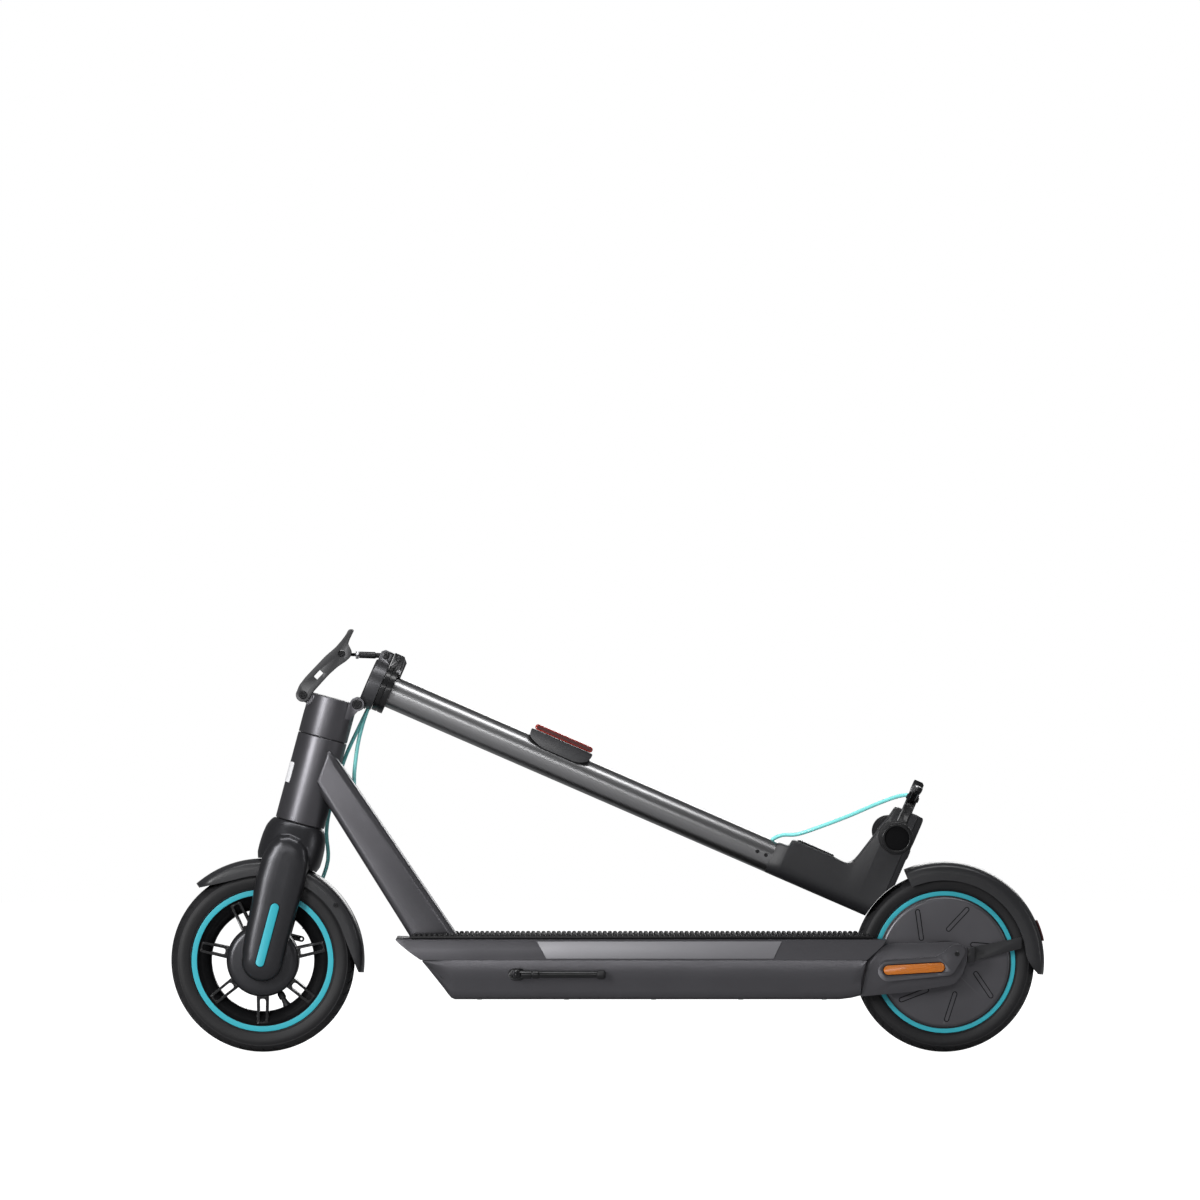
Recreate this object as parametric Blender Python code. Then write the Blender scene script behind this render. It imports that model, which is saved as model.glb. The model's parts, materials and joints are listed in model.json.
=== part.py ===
"""Folding electric kick scooter, modelled folded, standing on its wheels.

Metres, +Z up, the front wheel towards -X and the rider's left towards -Y. The origin is on the
ground, under the centre of the whole machine.

Three local frames carry most of the pieces:
  steering  origin at the front axle; x = rearward, z = up the steering axis
  stem      origin at the fold hinge; x = along the folded stem, z = away from the deck
  wheels    origin at each axle
"""
import bmesh
import bpy
from math import cos, pi, radians, sin
from mathutils import Matrix, Vector

# ---- driving dimensions ------------------------------------------------------------------
FRONT_R = 0.127              # 10 inch front tyre
REAR_R = 0.125               # rear tyre, slightly flattened by the motor's weight
TYRE_HALF = 0.028            # half the tyre's width
BEAD_R = 0.0975              # radius of the rims' edges
WHEELBASE = 0.9416
REAR_FENDER_R = 0.1385
FRONT_FENDER_R = 0.1404
RAKE = radians(15)           # the steering axis leans back
FOLD_DROP = radians(23.5)    # the folded stem points down by this much
BAR_HALF = 0.225             # half the handlebar's width
GAP = 0.0003                 # between pieces that touch
RUNNING = 0.0006             # round a piece that turns inside another
AXLE_R = 0.005               # front axle

FRONT_X = FRONT_R - (FRONT_R + WHEELBASE + REAR_FENDER_R) / 2
REAR_X = FRONT_X + WHEELBASE

# head, along the steering axis from the front axle
HEAD_R = 0.0346
HEAD_LOW, HEAD_HIGH = 0.196, 0.3186
BASE_TOP = 0.3753
STEERER_R = 0.015
BEARING_H = 0.010

# fold hinge and latch
HINGE_U, HINGE_S = 0.0344, 0.3756
KNUCKLE_R = 0.0098
KNUCKLE_HALF, LUG_HALF = 0.0115, 0.026
PIN_R = 0.004
LATCH_U, LATCH_S = -0.0415, 0.3687
LATCH_ARM = 0.0780           # lever pivot to link pin
LATCH_REST = radians(61.7)   # lever's direction at rest, measured from the rearward axis
CHEEK_IN, CHEEK_OUT = 0.005, 0.0099
LEVER_IN, LEVER_OUT = 0.0105, 0.014
LATCH_PIN_R = 0.003

# stem, along the tube from the hinge; heights are from the tube's centre line
STEM_RISE = 0.03435          # centre line above the hinge
STEM_R = 0.0225
LINK_T, LINK_N = 0.0098, 0.043
LINK_LENGTH = 0.0617
LINK_REST = radians(158.45)  # link's tilt at rest, measured in the stem's frame
CABLE_T = 0.0155             # where the cables leave the collar's underside
BAR_T, BAR_N = 0.7506, 0.0951
BAR_R = 0.0111
DISPLAY_T = 0.7725
BLADE_LOW, BLADE_HIGH = -0.0030, 0.0060  # faces of the brake lever, along the stem

# deck, heights above the ground
DECK_LOW, DECK_SPLIT, DECK_TOP = 0.0748, 0.1293, 0.1578
DECK_HALF = 0.078
WALL = 0.004
ARM_IN, ARM_OUT = 0.056, 0.064

STAND_X, STAND_Z = FRONT_X + 0.3519, 0.110
STAND_YAW = radians(16.5)
STAND_LENGTH = 0.122

for old in list(bpy.data.objects):
    bpy.data.objects.remove(old, do_unlink=True)


def aft(distance):
    """World X of a point this far behind the front axle."""
    return FRONT_X + distance


# ---- materials ---------------------------------------------------------------------------
FINISHES = {
    "frame_paint": ((0.062, 0.061, 0.068), 0.42, 0.6),
    "stem_metal": ((0.135, 0.135, 0.14), 0.34, 0.9),
    "collar_metal": ((0.09, 0.09, 0.093), 0.45, 0.8),
    "panel_paint": ((0.10, 0.098, 0.105), 0.45, 0.6),
    "black_plastic": ((0.016, 0.016, 0.018), 0.55, 0.0),
    "rim_paint": ((0.016, 0.016, 0.018), 0.45, 0.6),
    "black_metal": ((0.012, 0.012, 0.013), 0.4, 0.7),
    "tyre_rubber": ((0.022, 0.021, 0.023), 0.8, 0.0),
    "grip_rubber": ((0.018, 0.018, 0.019), 0.85, 0.0),
    "steel": ((0.42, 0.42, 0.43), 0.3, 1.0),
    "motor_core": ((0.42, 0.42, 0.43), 0.45, 0.8),
    "cell_wrap": ((0.03, 0.10, 0.16), 0.5, 0.0),
    "amber": ((0.60, 0.18, 0.02), 0.25, 0.0),
    "red": ((0.35, 0.02, 0.012), 0.2, 0.0),
    "clear": ((0.75, 0.76, 0.78), 0.15, 0.0),
    "cable_teal": ((0.14, 0.72, 0.68), 0.45, 0.0),
}


def material(name):
    found = bpy.data.materials.get(name)
    if found:
        return found
    colour, roughness, metallic = FINISHES[name]
    made = bpy.data.materials.new(name)
    made.use_nodes = True
    shader = made.node_tree.nodes["Principled BSDF"]
    shader.inputs["Base Color"].default_value = (*colour, 1)
    shader.inputs["Roughness"].default_value = roughness
    shader.inputs["Metallic"].default_value = metallic
    made.diffuse_color = (*colour, 1)
    return made


# ---- building blocks ---------------------------------------------------------------------
def empty(name, location=(0, 0, 0), tilt=0.0, parent=None):
    made = bpy.data.objects.new(name, None)
    made.location = location
    made.rotation_euler = (0, tilt, 0)
    made.parent = parent
    bpy.context.collection.objects.link(made)
    return made


def from_bmesh(name, bm, finish, parent=None):
    """A named object from a bmesh, outward faces, round parts shaded smooth."""
    bmesh.ops.recalc_face_normals(bm, faces=bm.faces)
    mesh = bpy.data.meshes.new(name)
    bm.to_mesh(mesh)
    bm.free()
    mesh.shade_smooth()
    mesh.set_sharp_from_angle(angle=radians(35))
    made = bpy.data.objects.new(name, mesh)
    if finish:
        mesh.materials.append(material(finish))
    made.parent = parent
    bpy.context.collection.objects.link(made)
    return made


def loft(rings):
    """Skin a list of equally long point rings and close both ends."""
    bm = bmesh.new()
    rows = [[bm.verts.new(p) for p in ring] for ring in rings]
    for low, high in zip(rows, rows[1:]):
        for k in range(len(low)):
            j = (k + 1) % len(low)
            bm.faces.new((low[k], low[j], high[j], high[k]))
    bm.faces.new(rows[0][::-1])
    bm.faces.new(rows[-1])
    return bm


def slab(outline, low, high):
    """An outline in local X and Z, filled and extruded along Y."""
    return loft([[(x, y, z) for x, z in outline] for y in (low, high)])


def turned(profile, segments=32, axis="Y", start=0.0, sweep=2 * pi):
    """A closed profile of (radius, height along the axis) swept around that axis."""
    full = sweep > 6.28
    count = segments if full else segments + 1
    bm = bmesh.new()
    rows = []
    for k in range(count):
        a = start + sweep * k / segments
        row = []
        for r, h in profile:
            if r < 1e-9 and rows:
                row.append(rows[0][len(row)])
                continue
            across, up = r * cos(a), r * sin(a)
            place = {"Y": (across, h, up), "Z": (across, up, h), "X": (h, across, up)}[axis]
            row.append(bm.verts.new(place))
        rows.append(row)
    pairs = list(zip(rows, rows[1:])) + ([(rows[-1], rows[0])] if full else [])
    for near, far in pairs:
        for i in range(len(profile)):
            j = (i + 1) % len(profile)
            corners = list(dict.fromkeys((near[i], near[j], far[j], far[i])))
            if len(corners) > 2:
                bm.faces.new(corners)
    if not full:
        bm.faces.new(rows[0])
        bm.faces.new(rows[-1][::-1])
    return bm


def rod(radius, low, high, segments=24, axis="Y"):
    return turned([(0, low), (radius, low), (radius, high), (0, high)], segments, axis)


def block(low, high):
    (x0, y0, z0), (x1, y1, z1) = low, high
    return slab([(x0, z0), (x1, z0), (x1, z1), (x0, z1)], y0, y1)


def moved(bm, offset):
    bmesh.ops.translate(bm, verts=bm.verts, vec=Vector(offset))
    return bm


def turned_about(bm, angle, axis):
    bmesh.ops.rotate(bm, verts=bm.verts, cent=(0, 0, 0), matrix=Matrix.Rotation(angle, 3, axis))
    return bm


def merged(*parts):
    """Put several loose shapes into one bmesh, for a cutter with many teeth."""
    out = bmesh.new()
    for part in parts:
        spare = bpy.data.meshes.new("spare")
        bmesh.ops.recalc_face_normals(part, faces=part.faces)
        part.to_mesh(spare)
        part.free()
        out.from_mesh(spare)
        bpy.data.meshes.remove(spare)
    return out


def arc(cx, cz, radius, first, last, steps):
    """Points of a circular arc, angles in degrees."""
    angles = [radians(first + (last - first) * k / steps) for k in range(steps + 1)]
    return [(cx + radius * cos(a), cz + radius * sin(a)) for a in angles]


def combine(target, bm, operation):
    """Apply one helper shape to an object with an exact Boolean; the helper stays hidden."""
    number = len(target.modifiers)
    helper = from_bmesh(f"{target.name}_helper_{number}", bm, None, target.parent)
    helper.hide_render = True
    helper.display_type = "WIRE"
    step = target.modifiers.new(f"{operation.lower()}_{number}", "BOOLEAN")
    step.operation = operation
    step.object = helper
    return helper


def cut(target, *shapes):
    """Cut shapes away, one Boolean each; gives back the last hidden cutter."""
    return [combine(target, bm, "DIFFERENCE") for bm in shapes][-1]


def add(target, bm):
    return combine(target, bm, "UNION")


def smooth_route(points, steps=3):
    """A Catmull-Rom curve through the route's own points."""
    route = [Vector(p) for p in points]
    route = [2 * route[0] - route[1], *route, 2 * route[-1] - route[-2]]
    out = []
    for a, b, c, d in zip(route, route[1:], route[2:], route[3:]):
        for k in range(steps):
            t = k / steps
            out.append(0.5 * (2 * b + (c - a) * t + (2 * a - 5 * b + 4 * c - d) * t ** 2
                              + (3 * b - a - 3 * c + d) * t ** 3))
    return out + [route[-2]]


def cable(name, points, parent, radius=0.0024):
    curve = bpy.data.curves.new(name, "CURVE")
    curve.dimensions = "3D"
    curve.bevel_depth = radius
    curve.bevel_resolution = 2
    curve.use_fill_caps = True
    route = smooth_route(points)
    spline = curve.splines.new("POLY")
    spline.points.add(len(route) - 1)
    for point, place in zip(spline.points, route):
        point.co = (*place, 1)
    curve.materials.append(material("cable_teal"))
    made = bpy.data.objects.new(name, curve)
    made.parent = parent
    bpy.context.collection.objects.link(made)
    return made


def bevel(target, width, segments=2, limit=30):
    step = target.modifiers.new("rounded_edges", "BEVEL")
    step.width = width
    step.segments = segments
    step.limit_method = "ANGLE"
    step.angle_limit = radians(limit)
    return target


# ---- frames ------------------------------------------------------------------------------
steering = empty("steering_axis", (FRONT_X, 0, FRONT_R), RAKE)
hinge_world = (
    FRONT_X + HINGE_U * cos(RAKE) + HINGE_S * sin(RAKE),
    0,
    FRONT_R - HINGE_U * sin(RAKE) + HINGE_S * cos(RAKE),
)
stem = empty("fold_axis", hinge_world, FOLD_DROP)
front_wheel = empty("front_wheel_axis", (FRONT_X, 0, FRONT_R))
rear_wheel = empty("rear_wheel_axis", (REAR_X, 0, REAR_R))
stand_axis = empty("kickstand_axis", (STAND_X, -0.088, STAND_Z))


def on_stem(t, n):
    """Stem coordinates (along, above the centre line) to the fold axis' local X and Z."""
    return t, n + STEM_RISE


# ---- wheels ------------------------------------------------------------------------------
def tyre(name, outer, parent):
    """Tubeless tyre: crowned tread, bulged walls, open towards the rim."""
    half = TYRE_HALF
    profile = [
        (outer, 0.008), (outer - 0.003, 0.018), (outer - 0.011, half),
        (BEAD_R + 0.006, half), (BEAD_R + GAP, half - 0.004),
    ]
    profile += [(r, -y) for r, y in reversed(profile)]
    return from_bmesh(name, turned(profile, 40), "tyre_rubber", parent)


def build_front_wheel():
    """Tyre, rim ring, and the seven-armed spider whose hub is the brake drum."""
    tyre("front_tyre", FRONT_R, front_wheel)
    rim_half, rim_in, rim_well, well_half = 0.0235, 0.0885, 0.0845, 0.007
    half_ring = [(BEAD_R, rim_half), (rim_in, rim_half), (rim_well, well_half)]
    ring = half_ring + [(r, -y) for r, y in half_ring[::-1]]
    from_bmesh("front_rim", turned(ring, 28), "rim_paint", front_wheel)

    hub_r, hub_half, bore = 0.050, 0.0285, AXLE_R + GAP
    drum_r, drum_floor, boss_r = 0.042, -0.016, 0.012
    hub = [(hub_r, hub_half), (hub_r, -hub_half), (bore, -hub_half), (bore, hub_half),
           (boss_r, hub_half), (boss_r, drum_floor), (drum_r, drum_floor), (drum_r, hub_half)]
    spider = from_bmesh("front_spokes", turned(hub, 28), "rim_paint", front_wheel)
    count, arm_root, arm_end, arm_half, slot_half = 7, 0.046, 0.0830, 0.0085, 0.0045
    arms, slots = [], []
    for k in range(count):
        angle = pi / 2 - 2 * pi * k / count
        arm = block((arm_root, -well_half, -arm_half), (arm_end, well_half, arm_half))
        slot = block((hub_r + 0.006, -0.03, -slot_half), (arm_end - 0.004, 0.03, slot_half))
        arms.append(turned_about(arm, angle, "Y"))
        slots.append(turned_about(slot, angle, "Y"))
    add(spider, merged(*arms))
    cut(spider, merged(*slots))


def build_rear_wheel():
    tyre("rear_tyre", REAR_R, rear_wheel)
    drum_in, half = 0.084, 0.030
    profile = [
        (BEAD_R, 0.0235), (0.091, 0.0235), (0.089, half), (0.0085, half), (0.0085, half - 0.004),
        (drum_in, half - 0.004), (drum_in, -half + 0.0035), (0.091, -half + 0.0035),
        (0.091, -0.0235), (BEAD_R, -0.0235),
    ]
    from_bmesh("motor_hub", turned(profile, 32), "rim_paint", rear_wheel)
    cover = [(0.0885, -half + 0.0032), (0.0885, -half - 0.0005), (0.087, -half - 0.0015),
             (0.0085, -half - 0.0015), (0.0085, -half + 0.0032)]
    from_bmesh("motor_cover", turned(cover, 32), "frame_paint", rear_wheel)
    stator = [(0.081, -0.018), (0.081, 0.018), (0.0095, 0.018), (0.0095, -0.018)]
    from_bmesh("motor_stator", turned(stator, 24), "motor_core", rear_wheel)
    axle = [(0, -0.068), (0.006, -0.068), (0.006, -ARM_OUT), (0.0078, -0.0555), (0.0078, 0.0555),
            (0.006, ARM_OUT), (0.006, 0.068), (0, 0.068)]
    from_bmesh("rear_axle", turned(axle, 16), "steel", rear_wheel)


# ---- fork and head -----------------------------------------------------------------------
def rounded_section(centre, half_x, half_y, height, count=20, power=2.6):
    """A superellipse ring across the steering axis."""
    ring = []
    for k in range(count):
        a = 2 * pi * (k + 0.5) / count
        c, s = cos(a), sin(a)
        x = half_x * abs(c) ** (2 / power) * (1 if c > 0 else -1)
        y = half_y * abs(s) ** (2 / power) * (1 if s > 0 else -1)
        ring.append((centre + x, y, height))
    return ring


def build_fork():
    """Crown and two blades cut around the wheel, with the steerer tube fixed in the crown."""
    end_r = 0.0287
    rings = [rounded_section(0, end_r * cos(radians(a)), 0.050, end_r * sin(radians(a)))
             for a in (-84, -60, -35, -10)]
    shape = [  # height, front edge, rear edge, half width
        (0.022, -0.0325, 0.0280, 0.0520), (0.057, -0.0345, 0.0284, 0.0535),
        (0.090, -0.0365, 0.0291, 0.0540), (0.112, -0.0388, 0.0322, 0.0540),
        (0.130, -0.0440, 0.0395, 0.0540), (0.146, -0.0466, 0.0433, 0.0530),
        (0.163, -0.0464, 0.0436, 0.0490), (0.182, -0.0442, 0.0408, 0.0420),
        (HEAD_LOW - GAP, -0.0366, 0.0366, 0.0366),
    ]
    for height, front, rear, half in shape:
        rings.append(rounded_section((front + rear) / 2, (rear - front) / 2, half, height))
    fork = from_bmesh("fork", loft(rings), "frame_paint", steering)
    slot = arc(0, 0, FRONT_FENDER_R + 0.0015, 15, 165, 12)
    slot = [(0.137, -0.06)] + slot + [(-0.137, -0.06)]
    cut(fork, slab(slot, -0.036, 0.036))
    cut(fork, rod(AXLE_R + GAP, -0.0463, 0.0463, 16))
    steerer_low, steerer_top, steerer_bore = 0.170, 0.370, 0.012
    add(fork, rod(STEERER_R, steerer_low, steerer_top, 24, "Z"))
    cut(fork, rod(steerer_bore, 0.120, steerer_top + 0.01, 24, "Z"))
    from_bmesh("front_axle", rod(AXLE_R, -0.046, 0.046, 16), "steel", steering)

    wall, half, skirt = 0.002, 0.0345, 0.119
    outer, inner = FRONT_FENDER_R, FRONT_FENDER_R - wall
    section = [
        (skirt, half), (outer - 0.006, half), (outer, half - 0.012), (outer, -half + 0.012),
        (outer - 0.006, -half), (skirt, -half), (skirt, -half + wall),
        (outer - 0.007, -half + wall), (inner, -half + 0.013), (inner, half - 0.013),
        (outer - 0.007, half - wall), (skirt, half - wall),
    ]
    fender = turned(section, 18, start=radians(8), sweep=radians(138))
    from_bmesh("front_fender", fender, "black_plastic", steering)

    plate = [(0.046, 0.0290), (0.046, 0.0315), (0.040, 0.0330), (AXLE_R + GAP, 0.0330),
             (AXLE_R + GAP, 0.0290)]
    from_bmesh("brake_plate", turned(plate, 28), "collar_metal", steering)


def build_head():
    """Head tube, headset bearings, down tube."""
    recess = STEERER_R + 0.009
    profile = [
        (HEAD_R, HEAD_LOW), (HEAD_R, HEAD_HIGH), (recess, HEAD_HIGH),
        (recess, HEAD_HIGH - BEARING_H - GAP), (0.017, HEAD_HIGH - BEARING_H - GAP),
        (0.017, HEAD_LOW + BEARING_H + GAP), (recess, HEAD_LOW + BEARING_H + GAP),
        (recess, HEAD_LOW),
    ]
    from_bmesh("head_tube", turned(profile, 32, "Z"), "frame_paint", steering)
    for name, low in (("lower", HEAD_LOW), ("upper", HEAD_HIGH - BEARING_H)):
        ring = [(recess - GAP, low), (recess - GAP, low + BEARING_H),
                (STEERER_R + GAP, low + BEARING_H), (STEERER_R + GAP, low)]
        from_bmesh(f"headset_bearing_{name}", turned(ring, 24, "Z"), "steel", steering)

    foot = DECK_TOP + GAP
    outline = [
        (aft(0.0700), 0.3740), (aft(0.0877), 0.3454), (aft(0.2050), foot), (aft(0.2715), foot),
        (aft(0.1066), 0.4008), (aft(0.0900), 0.4250),
    ]
    tube = from_bmesh("down_tube", slab(outline, -0.035, 0.035), "frame_paint")
    bevel(tube, 0.009, 2, 60)
    bore = cut(tube, rod(HEAD_R + GAP, 0.12, 0.40, 32, "Z"))
    bore.parent = steering
    lining = [(aft(0.112), 0.345), (aft(0.2235), foot - 0.01), (aft(0.2590), foot - 0.01),
              (aft(0.136), 0.345)]
    cut(tube, slab(lining, -0.029, 0.029))
    grommet = cut(tube, rod(0.0038, -0.02, 0.035, 12, "Z"))
    grommet.location = (aft(0.1258), 0.010, 0.352)


# ---- fold base, hinge and latch ----------------------------------------------------------
def hinge_lug(radius):
    """Side view of one hinge lug: round at the pin, rooted in the base."""
    tip = arc(HINGE_U, HINGE_S, radius, -38, 182, 10)
    return [(0.012, 0.372), (0.012, 0.345), (0.030, 0.345)] + tip


def build_fold_base():
    base = from_bmesh("fold_base", rod(HEAD_R, HEAD_HIGH + GAP, BASE_TOP, 32, "Z"),
                      "frame_paint", steering)
    add(base, slab(hinge_lug(KNUCKLE_R), -LUG_HALF, LUG_HALF))
    cut(base, slab(arc(HINGE_U, HINGE_S, KNUCKLE_R + RUNNING, 0, 340, 17),
                   -KNUCKLE_HALF - GAP, KNUCKLE_HALF + GAP))
    ear = arc(LATCH_U, LATCH_S, 0.0083, 90, 270, 10)
    ear = [(-0.020, LATCH_S - 0.013), (-0.020, BASE_TOP - 0.0001),
           (LATCH_U + 0.004, BASE_TOP - 0.0001)] + ear
    add(base, slab(ear, -CHEEK_OUT, CHEEK_OUT))
    pockets = []
    for low, high in ((LEVER_IN - RUNNING, LUG_HALF), (-LUG_HALF, -LEVER_IN + RUNNING)):
        pockets.append(slab(arc(LATCH_U, LATCH_S, 0.0158, 0, 340, 17), low, high))
    pockets.append(slab([(-0.060, 0.350), (-0.0335, 0.350), (-0.0335, 0.380), (-0.060, 0.380)],
                        -CHEEK_IN, CHEEK_IN))
    cut(base, *pockets)
    cut(
        base,
        moved(rod(PIN_R + GAP, -0.05, 0.05, 16), (HINGE_U, 0, HINGE_S)),
        moved(rod(LATCH_PIN_R + GAP, -0.03, 0.03, 12), (LATCH_U, 0, LATCH_S)),
        rod(STEERER_R + GAP, 0.31, 0.3705, 24, "Z"),
    )

    head = LUG_HALF + GAP
    pin = [(0, -head - 0.003), (0.0068, -head - 0.003), (0.0068, -head), (PIN_R, -head),
           (PIN_R, head), (0.0068, head), (0.0068, head + 0.003), (0, head + 0.003)]
    from_bmesh("hinge_pin", moved(turned(pin, 16), (HINGE_U, 0, HINGE_S)), "black_metal", steering)
    head = LEVER_OUT + GAP
    pin = [(0, -head - 0.002), (0.0055, -head - 0.002), (0.0055, -head), (LATCH_PIN_R, -head),
           (LATCH_PIN_R, head), (0.0055, head), (0.0055, head + 0.002), (0, head + 0.002)]
    from_bmesh("latch_pin", moved(turned(pin, 12), (LATCH_U, 0, LATCH_S)), "black_metal", steering)


def build_latch():
    """Over-centre lever on the fold base, and the link from the stem's collar."""
    along = Vector((cos(LATCH_REST), sin(LATCH_REST)))
    across = Vector((-along.y, along.x))
    pivot = empty("latch_axis", (LATCH_U, 0, LATCH_S), parent=steering)

    def placed(points):
        return [tuple(along * x + across * y) for x, y in points]

    lower = arc(0, 0, 0.0098, 150, 285, 9)
    outline = lower + [
        (0.0134, -0.0075), (0.0300, -0.0070), (0.0450, -0.0068), (0.0600, -0.0080),
        (0.0740, -0.0112), (0.0830, -0.0118), (0.0895, -0.0085), (0.0920, -0.0020),
        (0.0935, 0.0030), (0.1000, 0.0060), (0.1142, 0.0103), (0.1100, 0.0162),
        (0.1000, 0.0136), (0.0900, 0.0126), (0.0790, 0.0122), (0.0600, 0.0142),
        (0.0200, 0.0143), (0.0060, 0.0128),
    ]
    lever = from_bmesh("latch_lever", slab(placed(outline), -LEVER_OUT, LEVER_OUT),
                       "black_metal", pivot)
    channel = placed([(-0.02, -0.03), (0.1045, -0.03), (0.1045, 0.03), (-0.02, 0.03)])
    window = placed([(0.0285, 0.0005), (0.0410, 0.0005), (0.0410, 0.0066), (0.0285, 0.0066)])
    cut(lever, slab(channel, -LEVER_IN, LEVER_IN))
    pin_place = along * LATCH_ARM
    cut(
        lever,
        slab(window, -0.03, 0.03),
        rod(LATCH_PIN_R + GAP, -0.03, 0.03, 12),
        moved(rod(0.0036, -0.03, 0.03, 12), (pin_place.x, 0, pin_place.y)),
    )

    # link: eye and cross pin on the collar, threaded rod, eye at the lever's pin
    link_pivot = empty("link_axis", (LINK_T, 0, LINK_N + STEM_RISE), LINK_REST, stem)
    profile = [
        (0, 0.0035), (0.0036, 0.0035), (0.0036, 0.0140), (0.0044, 0.0150), (0.0044, 0.0375),
        (0.0060, 0.0378), (0.0060, 0.0420), (0.0026, 0.0422), (0.0026, LINK_LENGTH),
        (0, LINK_LENGTH),
    ]
    link = from_bmesh("latch_link", turned(profile, 14, "X"), "black_metal", link_pivot)
    eye_r, eye_half, pin_r, pin_half = 0.0062, 0.0047, LATCH_PIN_R - 0.0001, 0.0097
    eye = [(0, -pin_half), (pin_r, -pin_half), (pin_r, -eye_half), (eye_r, -eye_half),
           (eye_r, eye_half), (pin_r, eye_half), (pin_r, pin_half), (0, pin_half)]
    add(link, turned(eye, 16))
    add(link, moved(rod(0.0052, -0.0042, 0.0042, 14), (LINK_LENGTH, 0, 0)))
    for side in (-1, 1):
        low, high = sorted((side * 0.0046, side * 0.008))
        cut(link, block((0.0370, low, -0.007), (0.0430, high, 0.007)))


# ---- stem --------------------------------------------------------------------------------
def build_stem_collar():
    """Hinge collar with its knuckle and link ear, and the clamp above it."""
    collar = from_bmesh("stem_base", moved(rod(HEAD_R, 0, 0.0198, 32, "X"), (0, 0, STEM_RISE)),
                        "collar_metal", stem)
    knuckle = [(0.012, 0.012)] + arc(0, 0, KNUCKLE_R, 90, 350, 13) + [(0.012, -0.002)]
    notch = arc(0, 0, KNUCKLE_R + RUNNING, 0, 340, 17)
    side = KNUCKLE_HALF + GAP
    cut(collar, slab(notch, -0.04, -side), slab(notch, side, 0.04))
    add(collar, slab(knuckle, -KNUCKLE_HALF, KNUCKLE_HALF))
    top = LINK_N + STEM_RISE + 0.0072
    ear = [(0.0018, 0.060), (0.0196, 0.060), (0.0196, top), (0.0060, top), (0.0018, top - 0.004)]
    add(collar, slab(ear, -CHEEK_OUT, CHEEK_OUT))
    floor = HEAD_R + STEM_RISE + 0.0004
    cut(
        collar,
        block((-0.01, -CHEEK_IN, floor - 0.0005), (0.03, CHEEK_IN, 0.12)),
        moved(rod(LATCH_PIN_R + GAP, -0.03, 0.03, 12), (LINK_T, 0, LINK_N + STEM_RISE)),
        rod(PIN_R + GAP, -0.05, 0.05, 16),
        moved(rod(STEM_R + GAP, 0.006, 0.03, 24, "X"), (0, 0, STEM_RISE)),
        moved(rod(0.0032, -0.02, 0.02, 10, "Z"), (CABLE_T, 0.0160, 0)),
        moved(rod(0.0032, -0.02, 0.02, 10, "Z"), (CABLE_T, 0.0235, 0)),
    )

    clamp = from_bmesh("stem_clamp", moved(rod(0.033, 0.0201, 0.036, 32, "X"), (0, 0, STEM_RISE)),
                       "black_metal", stem)
    lug = [(0.0201, 0.056), (0.0201, 0.0862), (0.0335, 0.0862), (0.0400, 0.0790), (0.0400, 0.056)]
    add(clamp, slab(lug, -CHEEK_OUT, CHEEK_OUT))
    cut(
        clamp,
        block((0.01, -CHEEK_IN, STEM_RISE + 0.033), (0.05, CHEEK_IN, 0.12)),
        block((0.01, -0.0012, STEM_RISE + 0.01), (0.05, 0.0012, 0.12)),
        moved(rod(STEM_R + GAP, 0.01, 0.05, 32, "X"), (0, 0, STEM_RISE)),
    )


def build_stem():
    tube = [(STEM_R, 0.0065), (STEM_R, 0.69), (STEM_R - 0.0025, 0.69), (STEM_R - 0.0025, 0.0065)]
    main = from_bmesh("stem_tube", moved(turned(tube, 32, "X"), (0, 0, STEM_RISE)),
                      "stem_metal", stem)
    cut(main, moved(rod(0.0042, 0.01, 0.04, 12, "Z"), (0.6015, 0, STEM_RISE)))
    base = from_bmesh("marker_base", slab(
        [on_stem(t, n) for t, n in arc(0.2405, 0.0100, 0.0065, 180, 270, 3)
         + arc(0.3205, 0.0100, 0.0065, 270, 360, 3)
         + [(0.327, 0.025), (0.322, 0.0318), (0.238, 0.0318), (0.234, 0.025)]],
        -0.0252, 0.0252), "black_plastic", stem)
    bevel(base, 0.003, 2, 60)
    cut(base, moved(rod(STEM_R + GAP, 0.2, 0.36, 32, "X"), (0, 0, STEM_RISE)))
    lens = [on_stem(t, n) for t, n in arc(0.2410, 0.0363, 0.004, 90, 270, 5)
            + arc(0.3210, 0.0363, 0.004, -90, 90, 5)]
    bevel(from_bmesh("marker_lens", slab(lens, -0.0130, 0.0130), "red", stem), 0.002, 2, 60)


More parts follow.
